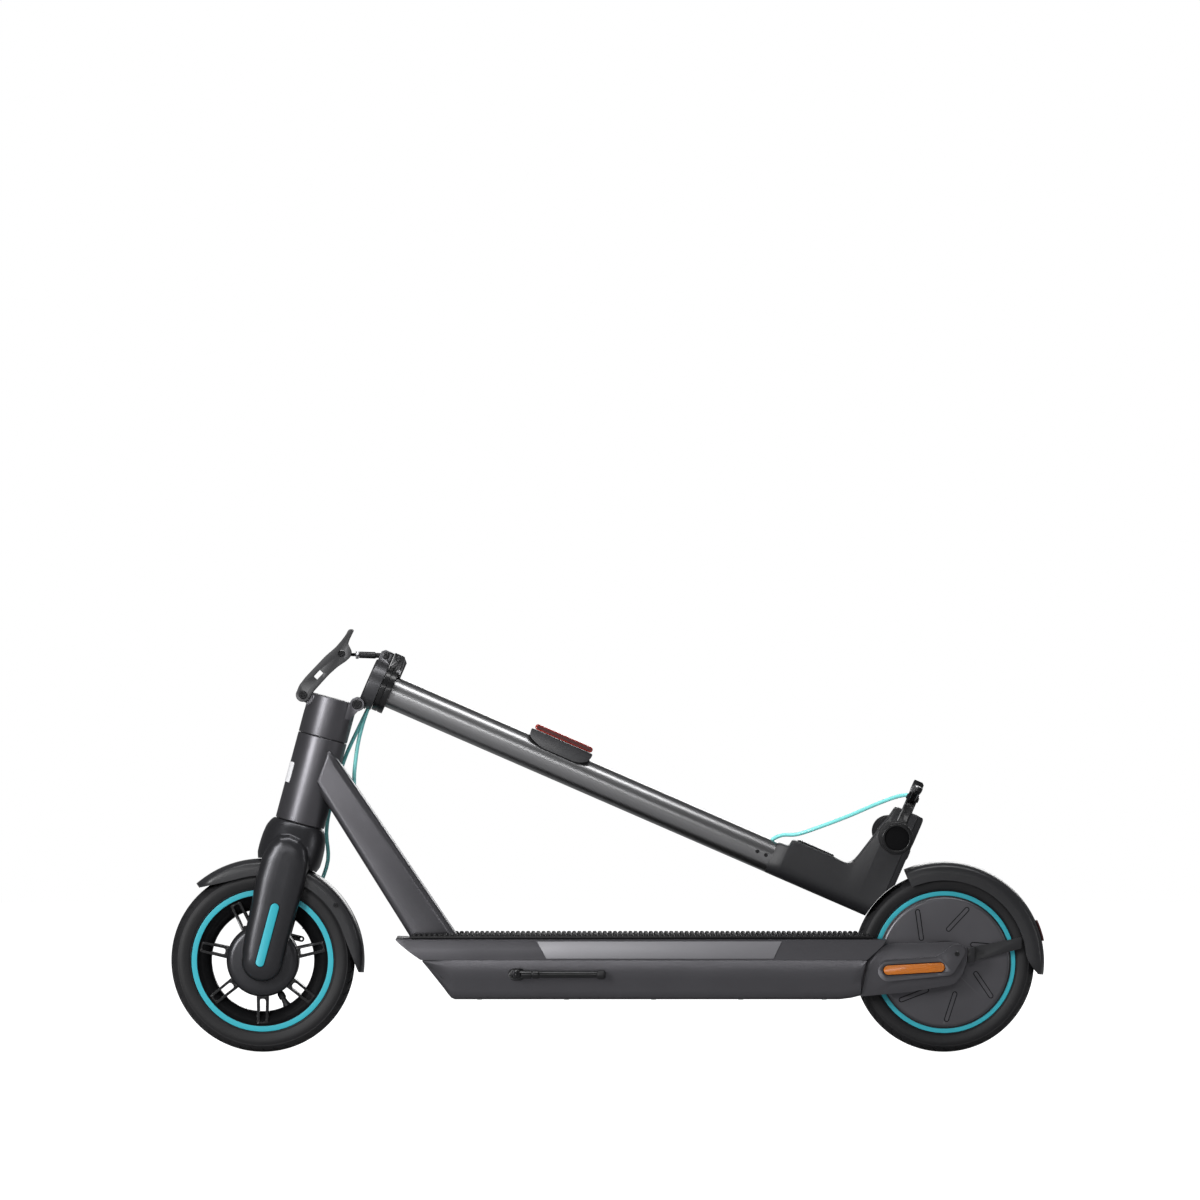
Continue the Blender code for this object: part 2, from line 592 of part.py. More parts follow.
def build_head_housing():
    """Head housing trimmed round the rear tyre, display, headlight and power button."""
    outline = [
        (0.609, -0.0225), (0.609, 0.0228), (0.624, 0.0240), (0.629, 0.0345), (0.690, 0.0355),
        (0.7045, 0.0340), (0.7127, 0.0373), (0.7177, 0.0445), (0.7307, 0.0964), (0.7360, 0.1165),
        (0.7400, 0.1336), (DISPLAY_T - GAP, 0.1336), (DISPLAY_T - GAP, -0.0225),
    ]
    outline = [on_stem(*p) for p in outline]
    housing = from_bmesh("head_housing", slab(outline, -0.031, 0.031), "black_plastic", stem)
    bevel(housing, 0.004, 2, 60)
    face = [on_stem(*p) for p in ((DISPLAY_T, -0.0190), (0.7785, -0.0160), (0.7810, -0.0030),
                                  (0.7810, 0.1300), (0.7790, 0.1330), (DISPLAY_T, 0.1330))]
    panel = from_bmesh("display", slab(face, -0.0300, 0.0300), "black_plastic", stem)
    for piece in (housing, panel):
        clearance = cut(piece, rod(REAR_R + 0.004, -0.06, 0.06, 60))
        clearance.parent = rear_wheel
    cut(
        housing,
        moved(rod(STEM_R + GAP, 0.60, 0.6905, 32, "X"), (0, 0, STEM_RISE)),
        moved(rod(BAR_R + GAP, -0.05, 0.05, 20), (BAR_T, 0, BAR_N + STEM_RISE)),
        block((0.6335, -0.0203, STEM_RISE + 0.0310), (0.6883, 0.0203, STEM_RISE + 0.05)),
    )
    lens = [on_stem(*p) for p in ((0.6340, 0.0313), (0.6878, 0.0313), (0.6878, 0.0365),
                                  (0.6860, 0.0380), (0.6358, 0.0380), (0.6340, 0.0365))]
    from_bmesh("headlight", slab(lens, -0.020, 0.020), "clear", stem)

    button_n = 0.078
    cut(panel, moved(rod(0.0078, 0.7765, 0.80, 16, "X"), (0, 0, button_n + STEM_RISE)))
    button = empty("button_axis", (0.780, 0, button_n + STEM_RISE), parent=stem)
    cap = [(0, -0.0015), (0.0075, -0.0015), (0.0075, 0.0022), (0.0062, 0.0030), (0, 0.0030)]
    from_bmesh("power_button", turned(cap, 16, "X"), "collar_metal", button)


def build_handlebar():
    bar = empty("bar_axis", (BAR_T, 0, BAR_N + STEM_RISE), parent=stem)
    tube = [(BAR_R, -0.222), (BAR_R, 0.222), (BAR_R - 0.002, 0.222), (BAR_R - 0.002, -0.222)]
    from_bmesh("handlebar", turned(tube, 20), "black_metal", bar)
    for side, name in ((-1, "grip_left"), (1, "grip_right")):
        sleeve = [(BAR_R + GAP, 0.118), (0.023, 0.118), (0.023, 0.122), (0.0165, 0.124),
                  (0.0172, 0.205), (0.0205, 0.2155), (0.0205, 0.2225), (0.0177, BAR_HALF),
                  (0, BAR_HALF), (0, 0.2223), (BAR_R + GAP, 0.2223)]
        sleeve = [(r, side * y) for r, y in sleeve]
        from_bmesh(name, turned(sleeve, 20), "grip_rubber", bar)

    return bar


def build_brake_lever(bar):
    """Perch clamped on the rider's left, with the blade between its two cheeks."""
    perch = [(BAR_R + GAP, -0.116), (0.0165, -0.116), (0.0165, -0.094), (BAR_R + GAP, -0.094)]
    perch = from_bmesh("brake_perch", turned(perch, 20), "black_metal", bar)
    front, back = -0.0056, 0.0090
    add(perch, block((front, -0.113, 0.0135), (back, -0.096, 0.0465)))
    add(perch, slab([(-0.0045, 0.036), (0.0075, 0.036), (0.0095, 0.072), (-0.0015, 0.072)],
                    -0.0990, -0.088))
    cheek_low, cheek_high = (-0.1130, 0.044), (-0.0985, 0.0645)
    for near, far in ((front, BLADE_LOW - GAP), (BLADE_HIGH + GAP, back)):
        add(perch, block((near, *cheek_low), (far, *cheek_high)))
    cut(perch, moved(rod(0.0027, -0.02, 0.02, 10, "Z"), (-0.001, -0.092, 0.060)))
    pull = empty("brake_axis", (BAR_T, -0.1065, BAR_N + STEM_RISE + 0.058), parent=stem)
    blade_top = [(0.0055, 0.0055), (-0.006, 0.013), (-0.040, 0.019), (-0.085, 0.0165),
                 (-0.105, 0.019)]
    blade_low = [(-0.107, 0.012), (-0.085, 0.0075), (-0.040, 0.0095), (-0.010, -0.0050),
                 (0.0020, -0.0075), (0.0055, -0.0050)]
    ring = [[(x, y, z) for y, z in blade_top + blade_low] for x in (BLADE_LOW, BLADE_HIGH)]
    from_bmesh("brake_lever", loft(ring), "black_metal", pull)


def build_throttle():
    """Thumb throttle on the rider's right, turning on the bar."""
    turn = empty("throttle_axis", (BAR_T, 0, BAR_N + STEM_RISE), parent=stem)
    ring = [(BAR_R + GAP, 0.094), (0.0180, 0.094), (0.0180, 0.114), (BAR_R + GAP, 0.114)]
    throttle = from_bmesh("throttle_lever", turned(ring, 20), "black_plastic", turn)
    paddle = [(-0.006, -0.0125), (0.008, -0.0125), (0.014, -0.034), (0.010, -0.039),
              (0.003, -0.036)]
    add(throttle, slab(paddle, 0.0965, 0.1115))


# ---- deck --------------------------------------------------------------------------------
def wheel_clearance(piece):
    helper = cut(piece, rod(REAR_R + 0.006, -0.034, 0.034, 64))
    helper.parent = rear_wheel


def build_deck():
    lower = [
        (aft(0.2182 + 0.003), DECK_SPLIT), (aft(0.2585), 0.0800), (aft(0.2640), DECK_LOW),
        (aft(0.7960), DECK_LOW), (aft(0.8250), 0.0790), (aft(0.8332), DECK_SPLIT),
    ]
    tray = from_bmesh("deck_tray", slab(lower, -DECK_HALF, DECK_HALF), "frame_paint")
    bevel(tray, 0.003, 2, 60)
    cut(tray, block((aft(0.272), -DECK_HALF + WALL, DECK_LOW + WALL),
                    (aft(0.790), DECK_HALF - WALL, 0.2)))
    upper = [
        (aft(0.1841), DECK_TOP + 0.0005), (aft(0.1890), 0.1520), (aft(0.2190), DECK_SPLIT + GAP),
        (aft(0.8335), DECK_SPLIT + GAP), (aft(0.8570), 0.1510), (aft(0.8600), DECK_TOP),
        (aft(0.2000), DECK_TOP),
    ]
    top = from_bmesh("deck_top", slab(upper, -DECK_HALF, DECK_HALF), "frame_paint")
    bevel(top, 0.003, 2, 60)
    cut(top, block((aft(0.230), -DECK_HALF + WALL, 0.1), (aft(0.790), DECK_HALF - WALL, 0.1535)))
    wheel_clearance(tray)
    wheel_clearance(top)

    mat = from_bmesh("grip_mat", block((aft(0.206), -0.070, DECK_TOP + 2 * GAP),
                                       (aft(0.842), 0.070, 0.1642)), "grip_rubber")
    cut(mat, block((aft(0.1), -0.0356, 0.1), (aft(0.273), 0.0356, 0.2)))
    wheel_clearance(mat)

    for side, name in ((-1, "side_panel_left"), (1, "side_panel_right")):
        trim = [(aft(0.3923), DECK_SPLIT + 0.0015), (aft(0.7049), DECK_SPLIT + 0.0015),
                (aft(0.7163), DECK_TOP - 0.003), (aft(0.3787), DECK_TOP - 0.003)]
        near, far = side * (DECK_HALF + GAP), side * (DECK_HALF + 0.0018)
        from_bmesh(name, slab(trim, min(near, far), max(near, far)), "panel_paint")

    floor = DECK_LOW + WALL + GAP
    pack = block((aft(0.400), -0.062, floor), (aft(0.780), 0.062, 0.150))
    bevel(from_bmesh("battery_pack", pack, "cell_wrap"), 0.004, 1, 60)
    box = block((aft(0.285), -0.038, floor), (aft(0.385), 0.038, floor + 0.026))
    bevel(from_bmesh("controller", box, "collar_metal"), 0.003, 1, 60)

    port_place = (aft(0.330), 0, 0.104)
    rim = DECK_HALF + GAP
    port = [(0, 0.0660), (0.0124, 0.0660), (0.0124, rim), (0.0150, rim), (0.0150, rim + 0.0015),
            (0.0130, rim + 0.0030), (0.0080, rim + 0.0030), (0.0080, 0.0690), (0, 0.0690)]
    from_bmesh("charge_port", moved(turned(port, 20), port_place), "black_plastic")
    cut(tray, moved(rod(0.0128, 0.068, 0.085, 20), port_place))


def build_rear_arms():
    """Dropout plates, their covers with side reflectors, fender stays."""
    outline = [
        (aft(0.8572) + 0.0006, 0.1512), (aft(0.9524), 0.1540), (aft(0.9673), 0.1485),
        (aft(0.9724), 0.1425), (aft(0.9708), 0.1265), (aft(0.9650), 0.1085),
        (aft(0.9535), 0.0955), (aft(0.9375), 0.0927), (aft(0.8917), 0.0850),
        (aft(0.8254), 0.0790), (aft(0.8336), DECK_SPLIT),
    ]
    cover = arc(aft(0.8633), 0.1145, 0.0149, 90, 270, 8) + [
        (aft(0.9270), 0.1060), (aft(0.9470), 0.1080), (aft(0.9535), 0.1120), (aft(0.9700), 0.1400),
        (aft(0.9660), 0.1500), (aft(0.9560), 0.1510), (aft(0.9470), 0.1480), (aft(0.9330), 0.1345),
    ]
    reflector = arc(aft(0.8630), 0.1155, 0.0065, 92, 272, 6) + arc(aft(0.9340), 0.1195, 0.0065,
                                                                   -88, 92, 6)
    stay = [(aft(0.9735), 0.1240), (aft(0.9735), 0.1460), (aft(1.0480), 0.1600),
            (aft(1.0480), 0.1440)]
    for side, tag in ((-1, "left"), (1, "right")):
        def layer(points, near, far):
            return slab(points, *sorted((side * near, side * far)))

        arm = from_bmesh(f"rear_arm_{tag}", layer(outline, ARM_IN, ARM_OUT), "frame_paint")
        hole = cut(arm, rod(0.0084, -0.1, 0.1, 16))
        hole.parent = rear_wheel
        case = from_bmesh(f"arm_cover_{tag}", layer(cover, ARM_OUT + GAP, 0.0708), "frame_paint")
        well = cut(case, rod(0.0095, -0.0692, 0.0692, 16))
        well.parent = rear_wheel
        from_bmesh(f"reflector_{tag}", layer(reflector, 0.0711, 0.0732), "amber")
        bar = from_bmesh(f"fender_stay_{tag}", layer(stay, 0.0360, 0.0400), "black_plastic")
        add(bar, layer([(aft(0.9730), 0.1245), (aft(0.9730), 0.1455), (aft(0.9820), 0.1470),
                        (aft(0.9820), 0.1265)], 0.0361, 0.0600))


def build_rear_fender():
    wall, half = 0.0022, 0.0355
    outer, inner, skirt = REAR_FENDER_R, REAR_FENDER_R - wall, 0.114
    section = [
        (skirt, half), (outer - 0.006, half), (outer, half - 0.012), (outer, -half + 0.012),
        (outer - 0.006, -half), (skirt, -half), (skirt, -half + wall),
        (outer - 0.007, -half + wall), (inner, -half + 0.013), (inner, half - 0.013),
        (outer - 0.007, half - wall), (skirt, half - wall),
    ]
    arch = turned(section, 16, start=radians(-7.5), sweep=radians(120))
    from_bmesh("rear_fender", arch, "black_plastic", rear_wheel)
    lamp = arc(0, 0, outer + GAP, 12, 24, 3) + arc(0, 0, outer + 0.0028, 24, 12, 3)
    from_bmesh("tail_light", slab(lamp, -0.019, 0.019), "red", rear_wheel)


def build_kickstand():
    plate = block((STAND_X - 0.017, -0.0815, STAND_Z - 0.014),
                  (STAND_X + 0.017, -DECK_HALF - GAP, STAND_Z + 0.014))
    bracket = from_bmesh("kickstand_bracket", plate, "black_metal")
    stud = turned_about(rod(0.004, -0.0055, 0.009, 14), STAND_YAW, "Z")
    add(bracket, moved(stud, (STAND_X, -0.088, STAND_Z)))
    tip = STAND_LENGTH
    profile = [
        (0, 0.002), (0.0045, 0.002), (0.0042, tip - 0.012), (0.0062, tip - 0.009),
        (0.0066, tip - 0.003), (0.0045, tip), (0, tip),
    ]
    leg = from_bmesh("kickstand", turned(profile, 14, "X"), "black_metal", stand_axis)
    add(leg, turned_about(rod(0.0078, -0.0050, 0.0035, 18), STAND_YAW, "Z"))
    cut(leg, turned_about(rod(0.0043, -0.02, 0.02, 14), STAND_YAW, "Z"))


def build_drum_arm():
    """Cam arm of the front drum brake, on the wheel's right; the cable lifts its free end."""
    pivot = empty("drum_arm_axis", (0.0120, 0, 0.0400), parent=steering)
    length = 0.031
    outline = arc(0, 0, 0.0055, 90, 270, 5) + arc(length, 0.0005, 0.0032, -90, 90, 4)
    from_bmesh("drum_arm", slab(outline, 0.0333, 0.0357), "steel", pivot)


def build_cables():
    cable("cable_brake_upper", [
        (0.6012, 0.000, STEM_RISE + 0.0185), (0.6022, 0.000, STEM_RISE + 0.0245),
        (0.6120, -0.0015, STEM_RISE + 0.0345),
        (0.6306, -0.006, STEM_RISE + 0.0440), (0.6580, -0.018, STEM_RISE + 0.0693),
        (0.6848, -0.036, STEM_RISE + 0.0963), (0.7109, -0.058, STEM_RISE + 0.1249),
        (0.7300, -0.074, STEM_RISE + 0.1440), (0.7420, -0.0840, STEM_RISE + 0.1530),
        (0.7480, -0.0868, STEM_RISE + 0.1552),
    ], stem)
    hinge_x, hinge_z = hinge_world[0], hinge_world[2]
    power = [
        (0.0168, 0.0160, -0.0009), (0.0130, 0.0160, -0.0098), (0.0078, 0.0155, -0.0250),
        (0.0025, 0.0140, -0.0450), (-0.0010, 0.0120, -0.0640), (-0.0045, 0.0100, -0.0950),
        (-0.0046, 0.0100, -0.1180),
    ]
    cable("cable_power", [(hinge_x + x, y, hinge_z + z) for x, y, z in power], None)
    cable("cable_brake_lower", [
        (0.0516, 0.0235, 0.3857), (0.0500, 0.0235, 0.3753), (0.0480, 0.0240, 0.3640),
        (0.0431, 0.0290, 0.3391), (0.0390, 0.0350, 0.3170), (0.0360, 0.0405, 0.2950),
        (0.0340, 0.0450, 0.2550), (0.0345, 0.0470, 0.2180), (0.0385, 0.0490, 0.1900),
        (0.0500, 0.0500, 0.1550), (0.0480, 0.0440, 0.1150), (0.0445, 0.0400, 0.0750),
        (0.0430, 0.0380, 0.0540),
    ], steering)


build_front_wheel()
build_rear_wheel()
build_fork()
build_head()
build_fold_base()
build_latch()
build_stem_collar()
build_stem()
build_head_housing()
build_brake_lever(build_handlebar())
build_throttle()
build_deck()
build_rear_arms()
build_rear_fender()
build_kickstand()
build_drum_arm()
build_cables()
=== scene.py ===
import bmesh
import bpy
import json
from functools import partial
from math import atan2, cos, pi, radians, sin, tau
from mathutils import Matrix, Vector


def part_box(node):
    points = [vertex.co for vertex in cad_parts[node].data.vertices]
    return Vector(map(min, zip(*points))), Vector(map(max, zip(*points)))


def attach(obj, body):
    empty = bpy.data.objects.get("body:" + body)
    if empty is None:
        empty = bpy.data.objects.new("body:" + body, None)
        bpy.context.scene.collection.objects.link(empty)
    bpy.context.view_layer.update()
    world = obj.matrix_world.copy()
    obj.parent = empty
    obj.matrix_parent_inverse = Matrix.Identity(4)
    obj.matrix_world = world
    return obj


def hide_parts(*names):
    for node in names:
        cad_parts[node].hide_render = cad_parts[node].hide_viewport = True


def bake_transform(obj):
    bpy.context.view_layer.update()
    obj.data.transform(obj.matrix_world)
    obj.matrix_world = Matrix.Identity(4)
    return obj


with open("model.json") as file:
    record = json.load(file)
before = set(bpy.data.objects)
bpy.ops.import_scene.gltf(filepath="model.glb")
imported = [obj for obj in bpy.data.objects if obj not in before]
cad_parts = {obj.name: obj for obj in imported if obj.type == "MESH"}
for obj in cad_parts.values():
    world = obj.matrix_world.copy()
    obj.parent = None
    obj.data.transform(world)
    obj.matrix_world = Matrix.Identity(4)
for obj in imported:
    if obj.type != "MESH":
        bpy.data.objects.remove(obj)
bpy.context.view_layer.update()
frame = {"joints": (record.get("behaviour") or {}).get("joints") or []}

# ---- places, read from the frame -----------------------------------------------------------
JOINTS = {joint["name"]: joint for joint in frame["joints"]}


def joint_at(name):
    return Vector(JOINTS[name]["pos_m"])


FRONT, REAR, HINGE = joint_at("front_wheel_spin"), joint_at("rear_wheel_spin"), joint_at("fold")
rake_axis, stem_axis = JOINTS["steer"]["axis"], JOINTS["brake_lever_pull"]["axis"]
RAKE = atan2(rake_axis[0], rake_axis[2])
DROP = atan2(-stem_axis[2], stem_axis[0])
STEM_RISE = 0.03435          # tube's centre line above the fold hinge

WORLD = Matrix.Identity(4)
WHEEL_F, WHEEL_R = Matrix.Translation(FRONT), Matrix.Translation(REAR)
STEERING = WHEEL_F @ Matrix.Rotation(RAKE, 4, "Y")
STEM = (Matrix.Translation(HINGE) @ Matrix.Rotation(DROP, 4, "Y")
        @ Matrix.Translation((0, 0, STEM_RISE)))
SIDES = ((-1, "left"), (1, "right"))

FRONT_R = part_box("front_tyre")[1].z - FRONT.z
REAR_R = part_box("rear_tyre")[1].z - REAR.z
BEAD_R, STRIPE_R = 0.0975, 0.0980
HEAD_R, HEAD_LOW, HEAD_HIGH, BASE_TOP = 0.0346, 0.196, 0.3186, 0.3753
HINGE_U, HINGE_S, HINGE_BORE, LATCH_BORE = 0.0344, 0.3756, 0.0043, 0.0033
LATCH_U, LATCH_S, LATCH_ARM, LATCH_REST = -0.0415, 0.3687, 0.0780, radians(61.7)
LINK_T, LINK_N, LINK_REST, LINK_LENGTH = 0.0098, 0.043, radians(158.45), 0.0617
STEM_R, BAR_R, BAR_T, BAR_N, DISPLAY_T = 0.0225, 0.0111, 0.7506, 0.0951, 0.7725
DECK_LOW, DECK_SPLIT, DECK_TOP, DECK_HALF = 0.0748, 0.1293, 0.1578, 0.078
CABLE_R = 0.0027
GAP = 0.0003                 # clearance between pieces that fit into each other
WORN_FROM, WORN_FULLY, BUMP_HEIGHT = 0.53, 0.62, 0.0004


def aft(distance):
    """World X of a point this far behind the front axle."""
    return FRONT.x + distance


# ---- materials -----------------------------------------------------------------------------
def feed(tree, item, inputs):
    """Each input takes a constant, or a link when it is given another node's output."""
    for socket, value in inputs.items():
        if isinstance(value, bpy.types.NodeSocket):
            tree.links.new(value, item.inputs[socket])
        else:
            item.inputs[socket].default_value = value


def node(tree, kind, inputs=None, out=0, **settings):
    """Add a shader node and give back one of its outputs."""
    item = tree.nodes.new("ShaderNode" + kind)
    for key, value in settings.items():
        setattr(item, key, value)
    feed(tree, item, inputs or {})
    return item.outputs[out]


def finish(name, colour, roughness, metallic=0.0, mottle=0.06, grain=1200, relief=0.08,
           stretch=(1, 1, 1), rough_drift=0.08, wear=0.0, coat=0.0, transmission=0.0,
           pattern=None, pattern_scale=420, pattern_depth=0.5, contrast=0.0, gloss=0.5):
    """A Principled surface: mottled colour, drifting roughness, fine relief, worn edges."""
    made = bpy.data.materials.new(name)
    made.use_nodes = True
    tree = made.node_tree
    add = partial(node, tree)
    where = add("Mapping", {"Scale": stretch, "Vector": add("TexCoord", out="Object")})

    def noise(scale, detail):
        return add("TexNoise", {"Scale": scale, "Detail": detail, "Vector": where}, "Fac")

    def ramp(value, low, high, **more):
        return add("MapRange", {"Value": value, "To Min": low, "To Max": high, **more}, "Result")

    def times(first, second):
        return add("Mix", {"Factor": 1, "A": first, "B": second}, "Result", data_type="RGBA",
                   blend_type="MULTIPLY")

    height, broad = noise(grain, 3), noise(14, 4)
    shown = times((*colour, 1), ramp(broad, 1 - mottle, 1 + mottle))
    if pattern:
        kind, out = ("TexWave", "Fac") if pattern == "bands" else ("TexVoronoi", "Distance")
        teeth = add(kind, {"Scale": pattern_scale, "Vector": where}, out)
        height = add("Math", {0: teeth, 1: pattern_depth, 2: height}, operation="MULTIPLY_ADD")
        if contrast:
            shown = times(shown, ramp(teeth, 1 - contrast, 1 + contrast))
    if wear:
        found = ramp(add("NewGeometry", out="Pointiness"), 0, wear,
                     **{"From Min": WORN_FROM, "From Max": WORN_FULLY})
        bare = (*(min(1, c * 2.6 + 0.03) for c in colour), 1)
        shown = add("Mix", {"Factor": found, "A": shown, "B": bare}, "Result", data_type="RGBA")
    drift = ramp(broad, max(0.02, roughness - rough_drift), min(1, roughness + rough_drift))
    bump = add("Bump", {"Strength": relief, "Distance": BUMP_HEIGHT, "Height": height}, "Normal")
    feed(tree, tree.nodes["Principled BSDF"], {
        "Base Color": shown, "Roughness": drift, "Normal": bump, "Metallic": metallic,
        "Specular IOR Level": gloss, "Coat Weight": coat, "Coat Roughness": 0.08,
        "Transmission Weight": transmission})
    return made


PAINT = finish("gunmetal_paint", (0.105, 0.103, 0.112), 0.36, 0.75, grain=1500, wear=0.18)
PAINT_DARK = finish("dark_paint", (0.042, 0.042, 0.046), 0.31, 0.65, grain=1500, wear=0.15)
PANEL = finish("pale_panel_paint", (0.175, 0.173, 0.185), 0.46, 0.25, mottle=0.05, grain=1300,
               wear=0.2)
STEM_METAL = finish("brushed_stem", (0.30, 0.30, 0.305), 0.30, 1.0, mottle=0.05, grain=420,
                    relief=0.03, stretch=(0.06, 1, 1), rough_drift=0.04)
COLLAR = finish("anodised_collar", (0.085, 0.085, 0.09), 0.36, 0.8, wear=0.2)
LEVER = finish("lever_coating", (0.062, 0.062, 0.064), 0.5, 0.3, relief=0.10, wear=0.15)
BLACK_METAL = finish("black_coated_steel", (0.010, 0.010, 0.011), 0.30, 0.5, mottle=0.12,
                     relief=0.10, wear=0.3, coat=0.3)
STEEL = finish("turned_steel", (0.36, 0.36, 0.37), 0.32, 1.0, mottle=0.12, grain=800,
               relief=0.12, stretch=(1, 0.1, 1), wear=0.2)
PLASTIC = finish("textured_plastic", (0.017, 0.017, 0.019), 0.42, mottle=0.08, grain=2600,
                 relief=0.20, wear=0.2, pattern="cells", pattern_scale=1700, gloss=0.40)
FENDER = finish("satin_fender", (0.020, 0.020, 0.022), 0.36, grain=2200, wear=0.1, gloss=0.45)
RUBBER = finish("tyre_rubber", (0.011, 0.0108, 0.012), 0.56, mottle=0.2, grain=900, relief=0.25,
                rough_drift=0.10, pattern="cells", gloss=0.35)
GRIP = finish("grip_rubber", (0.008, 0.008, 0.009), 0.62, mottle=0.15, grain=1500, relief=0.4,
              pattern="cells", pattern_scale=520, pattern_depth=1.0, gloss=0.35)
TEAL = finish("teal_paint", (0.028, 0.420, 0.510), 0.42, grain=1400, relief=0.06)
CABLE = finish("cable_jacket", (0.260, 0.860, 0.840), 0.38, mottle=0.05, coat=0.3)
AMBER = finish("amber_prisms", (0.66, 0.180, 0.008), 0.25, mottle=0.12, grain=500, relief=0.6,
               coat=0.5, stretch=(1, 1, 1.6), pattern="bands", pattern_scale=230,
               pattern_depth=3.0, contrast=0.6)
RED = finish("red_lens", (0.50, 0.028, 0.014), 0.16, mottle=0.12, grain=700, relief=0.05,
             coat=0.8, transmission=0.25)
RED_DARK = finish("lamp_core", (0.060, 0.004, 0.003), 0.55, mottle=0.12, grain=600, relief=0.3,
                  pattern="cells", pattern_scale=260, pattern_depth=1.2)
SMOKED = finish("smoked_lens", (0.020, 0.020, 0.022), 0.07, mottle=0.02, grain=400, relief=0.02,
                coat=1.0, transmission=0.35, rough_drift=0.03)
GLASS = finish("screen_glass", (0.006, 0.006, 0.008), 0.08, mottle=0.3, grain=500, relief=0.01,
               coat=1.0, rough_drift=0.05)
WHITE = finish("white_reflector", (0.90, 0.90, 0.92), 0.35, grain=900, relief=0.1, mottle=0.04,
               pattern="cells", pattern_scale=600, pattern_depth=0.8)
# Near-black with little specular: painted shade, laid in the motor cover's grooves, round the fork
# strips and side reflectors, and inside the bar ends.
SHADE_BLACK = finish("painted_recess_shade", (0.002, 0.002, 0.0025), 0.7, mottle=0.12, grain=900, relief=0.2,
                gloss=0.1)


# ---- shapes --------------------------------------------------------------------------------
def loft(rings, loop=False, into=None):
    """Skin equally long point rings; the ends are closed unless the rings close on themselves."""
    bm = into or bmesh.new()
    rows = [[bm.verts.new(p) for p in ring] for ring in rings]
    for low, high in list(zip(rows, rows[1:])) + ([(rows[-1], rows[0])] if loop else []):
        for k in range(len(low)):
            j = (k + 1) % len(low)
            bm.faces.new((low[k], low[j], high[j], high[k]))
    if not loop:
        bm.faces.new(rows[0][::-1])
        bm.faces.new(rows[-1])
    return bm


def turned(profile, axis="Y", segments=96, first=0.0, last=360.0):
    """A closed profile of (radius, height) swept about an axis, angles in degrees."""
    full = last - first >= 360
    steps = segments if full else segments + 1
    rings = []
    for k in range(steps):
        a = radians(first + (last - first) * k / segments)
        place = {"Y": lambda r, h: (r * cos(a), h, r * sin(a)),
                 "Z": lambda r, h: (r * cos(a), r * sin(a), h),
                 "X": lambda r, h: (h, r * cos(a), r * sin(a))}[axis]
        rings.append([place(r, h) for r, h in profile])
    bm = loft(rings, loop=full)
    bmesh.ops.remove_doubles(bm, verts=bm.verts, dist=1e-7)
    return bm


def soften(points, radius=0.001, steps=4):
    """Round every corner of a closed outline; a third value on a point is its own radius."""
    out = []
    for before, here, after in zip(points[-1:] + points[:-1], points, points[1:] + points[:1]):
        a, p, b = (Vector(q[:2]) for q in (before, here, after))
        reach = here[2] if len(here) > 2 else radius
        reach = min(reach, (a - p).length * 0.48, (b - p).length * 0.48)
        if reach < 1e-6:
            out.append(tuple(p))
            continue
        start, end = p + (a - p).normalized() * reach, p + (b - p).normalized() * reach
        for k in range(steps + 1):
            t = k / steps
            out.append(tuple(start * (1 - t) ** 2 + p * 2 * t * (1 - t) + end * t * t))
    return out


def arc(cx, cz, radius, first, last, steps):
    angles = [radians(first + (last - first) * k / steps) for k in range(steps + 1)]
    return [(cx + radius * cos(a), cz + radius * sin(a)) for a in angles]


def stadium(x0, z0, x1, z1, radius, steps=10):
    """A round-ended slot between two centres."""
    heading = atan2(z1 - z0, x1 - x0) * 180 / pi
    return (arc(x1, z1, radius, heading - 90, heading + 90, steps)
            + arc(x0, z0, radius, heading + 90, heading + 270, steps))


def slab(outline, low, high):
    return loft([[(x, y, z) for x, z in outline] for y in (low, high)])


def rod(radius, low, high, axis="Y", segments=48, edge=0.0006):
    edge = min(edge, (high - low) / 3, radius / 2)
    return turned([(0, low), (radius - edge, low), (radius, low + edge), (radius, high - edge),
                   (radius - edge, high), (0, high)], axis, segments)


def block(low, high):
    (x0, y0, z0), (x1, y1, z1) = low, high
    return slab([(x0, z0), (x1, z0), (x1, z1), (x0, z1)], y0, y1)


def moved(bm, offset):
    bmesh.ops.translate(bm, verts=bm.verts, vec=Vector(offset))
    return bm


def drill(radius, reach, x=0, z=0):
    """A rod across the part, reaching as far on both sides."""
    return moved(rod(radius, -reach, reach), (x, 0, z))


def span(side, near, far):
    """Both faces of a layer on one side, the lower one first."""
    return sorted((side * near, side * far))


def swung(bm, angle, axis="Y"):
    bmesh.ops.rotate(bm, verts=bm.verts, cent=(0, 0, 0), matrix=Matrix.Rotation(angle, 3, axis))
    return bm


def joined(*shapes):
    """Several separate solids in one bmesh."""
    out = bmesh.new()
    for shape in shapes:
        spare = bpy.data.meshes.new("spare")
        bmesh.ops.recalc_face_normals(shape, faces=shape.faces)
        shape.to_mesh(spare)
        shape.free()
        out.from_mesh(spare)
        bpy.data.meshes.remove(spare)
    return out


def spline(points, steps):
    """Catmull-Rom through the points."""
    route = [Vector(p) for p in points]
    route = [2 * route[0] - route[1], *route, 2 * route[-1] - route[-2]]
    out = []
    for a, b, c, d in zip(route, route[1:], route[2:], route[3:]):
        for k in range(steps):
            t = k / steps
            out.append(0.5 * (2 * b + (c - a) * t + (2 * a - 5 * b + 4 * c - d) * t ** 2
                              + (3 * b - a - 3 * c + d) * t ** 3))
    return out + [route[-2]]


# ---- pieces --------------------------------------------------------------------------------
def solid(name, bm, place):
    if bm.faces:
        bmesh.ops.recalc_face_normals(bm, faces=bm.faces)
    mesh = bpy.data.meshes.new(name)
    bm.to_mesh(mesh)
    bm.free()
    made = bpy.data.objects.new(name, mesh)
    made.matrix_world = place
    bpy.context.collection.objects.link(made)
    return made


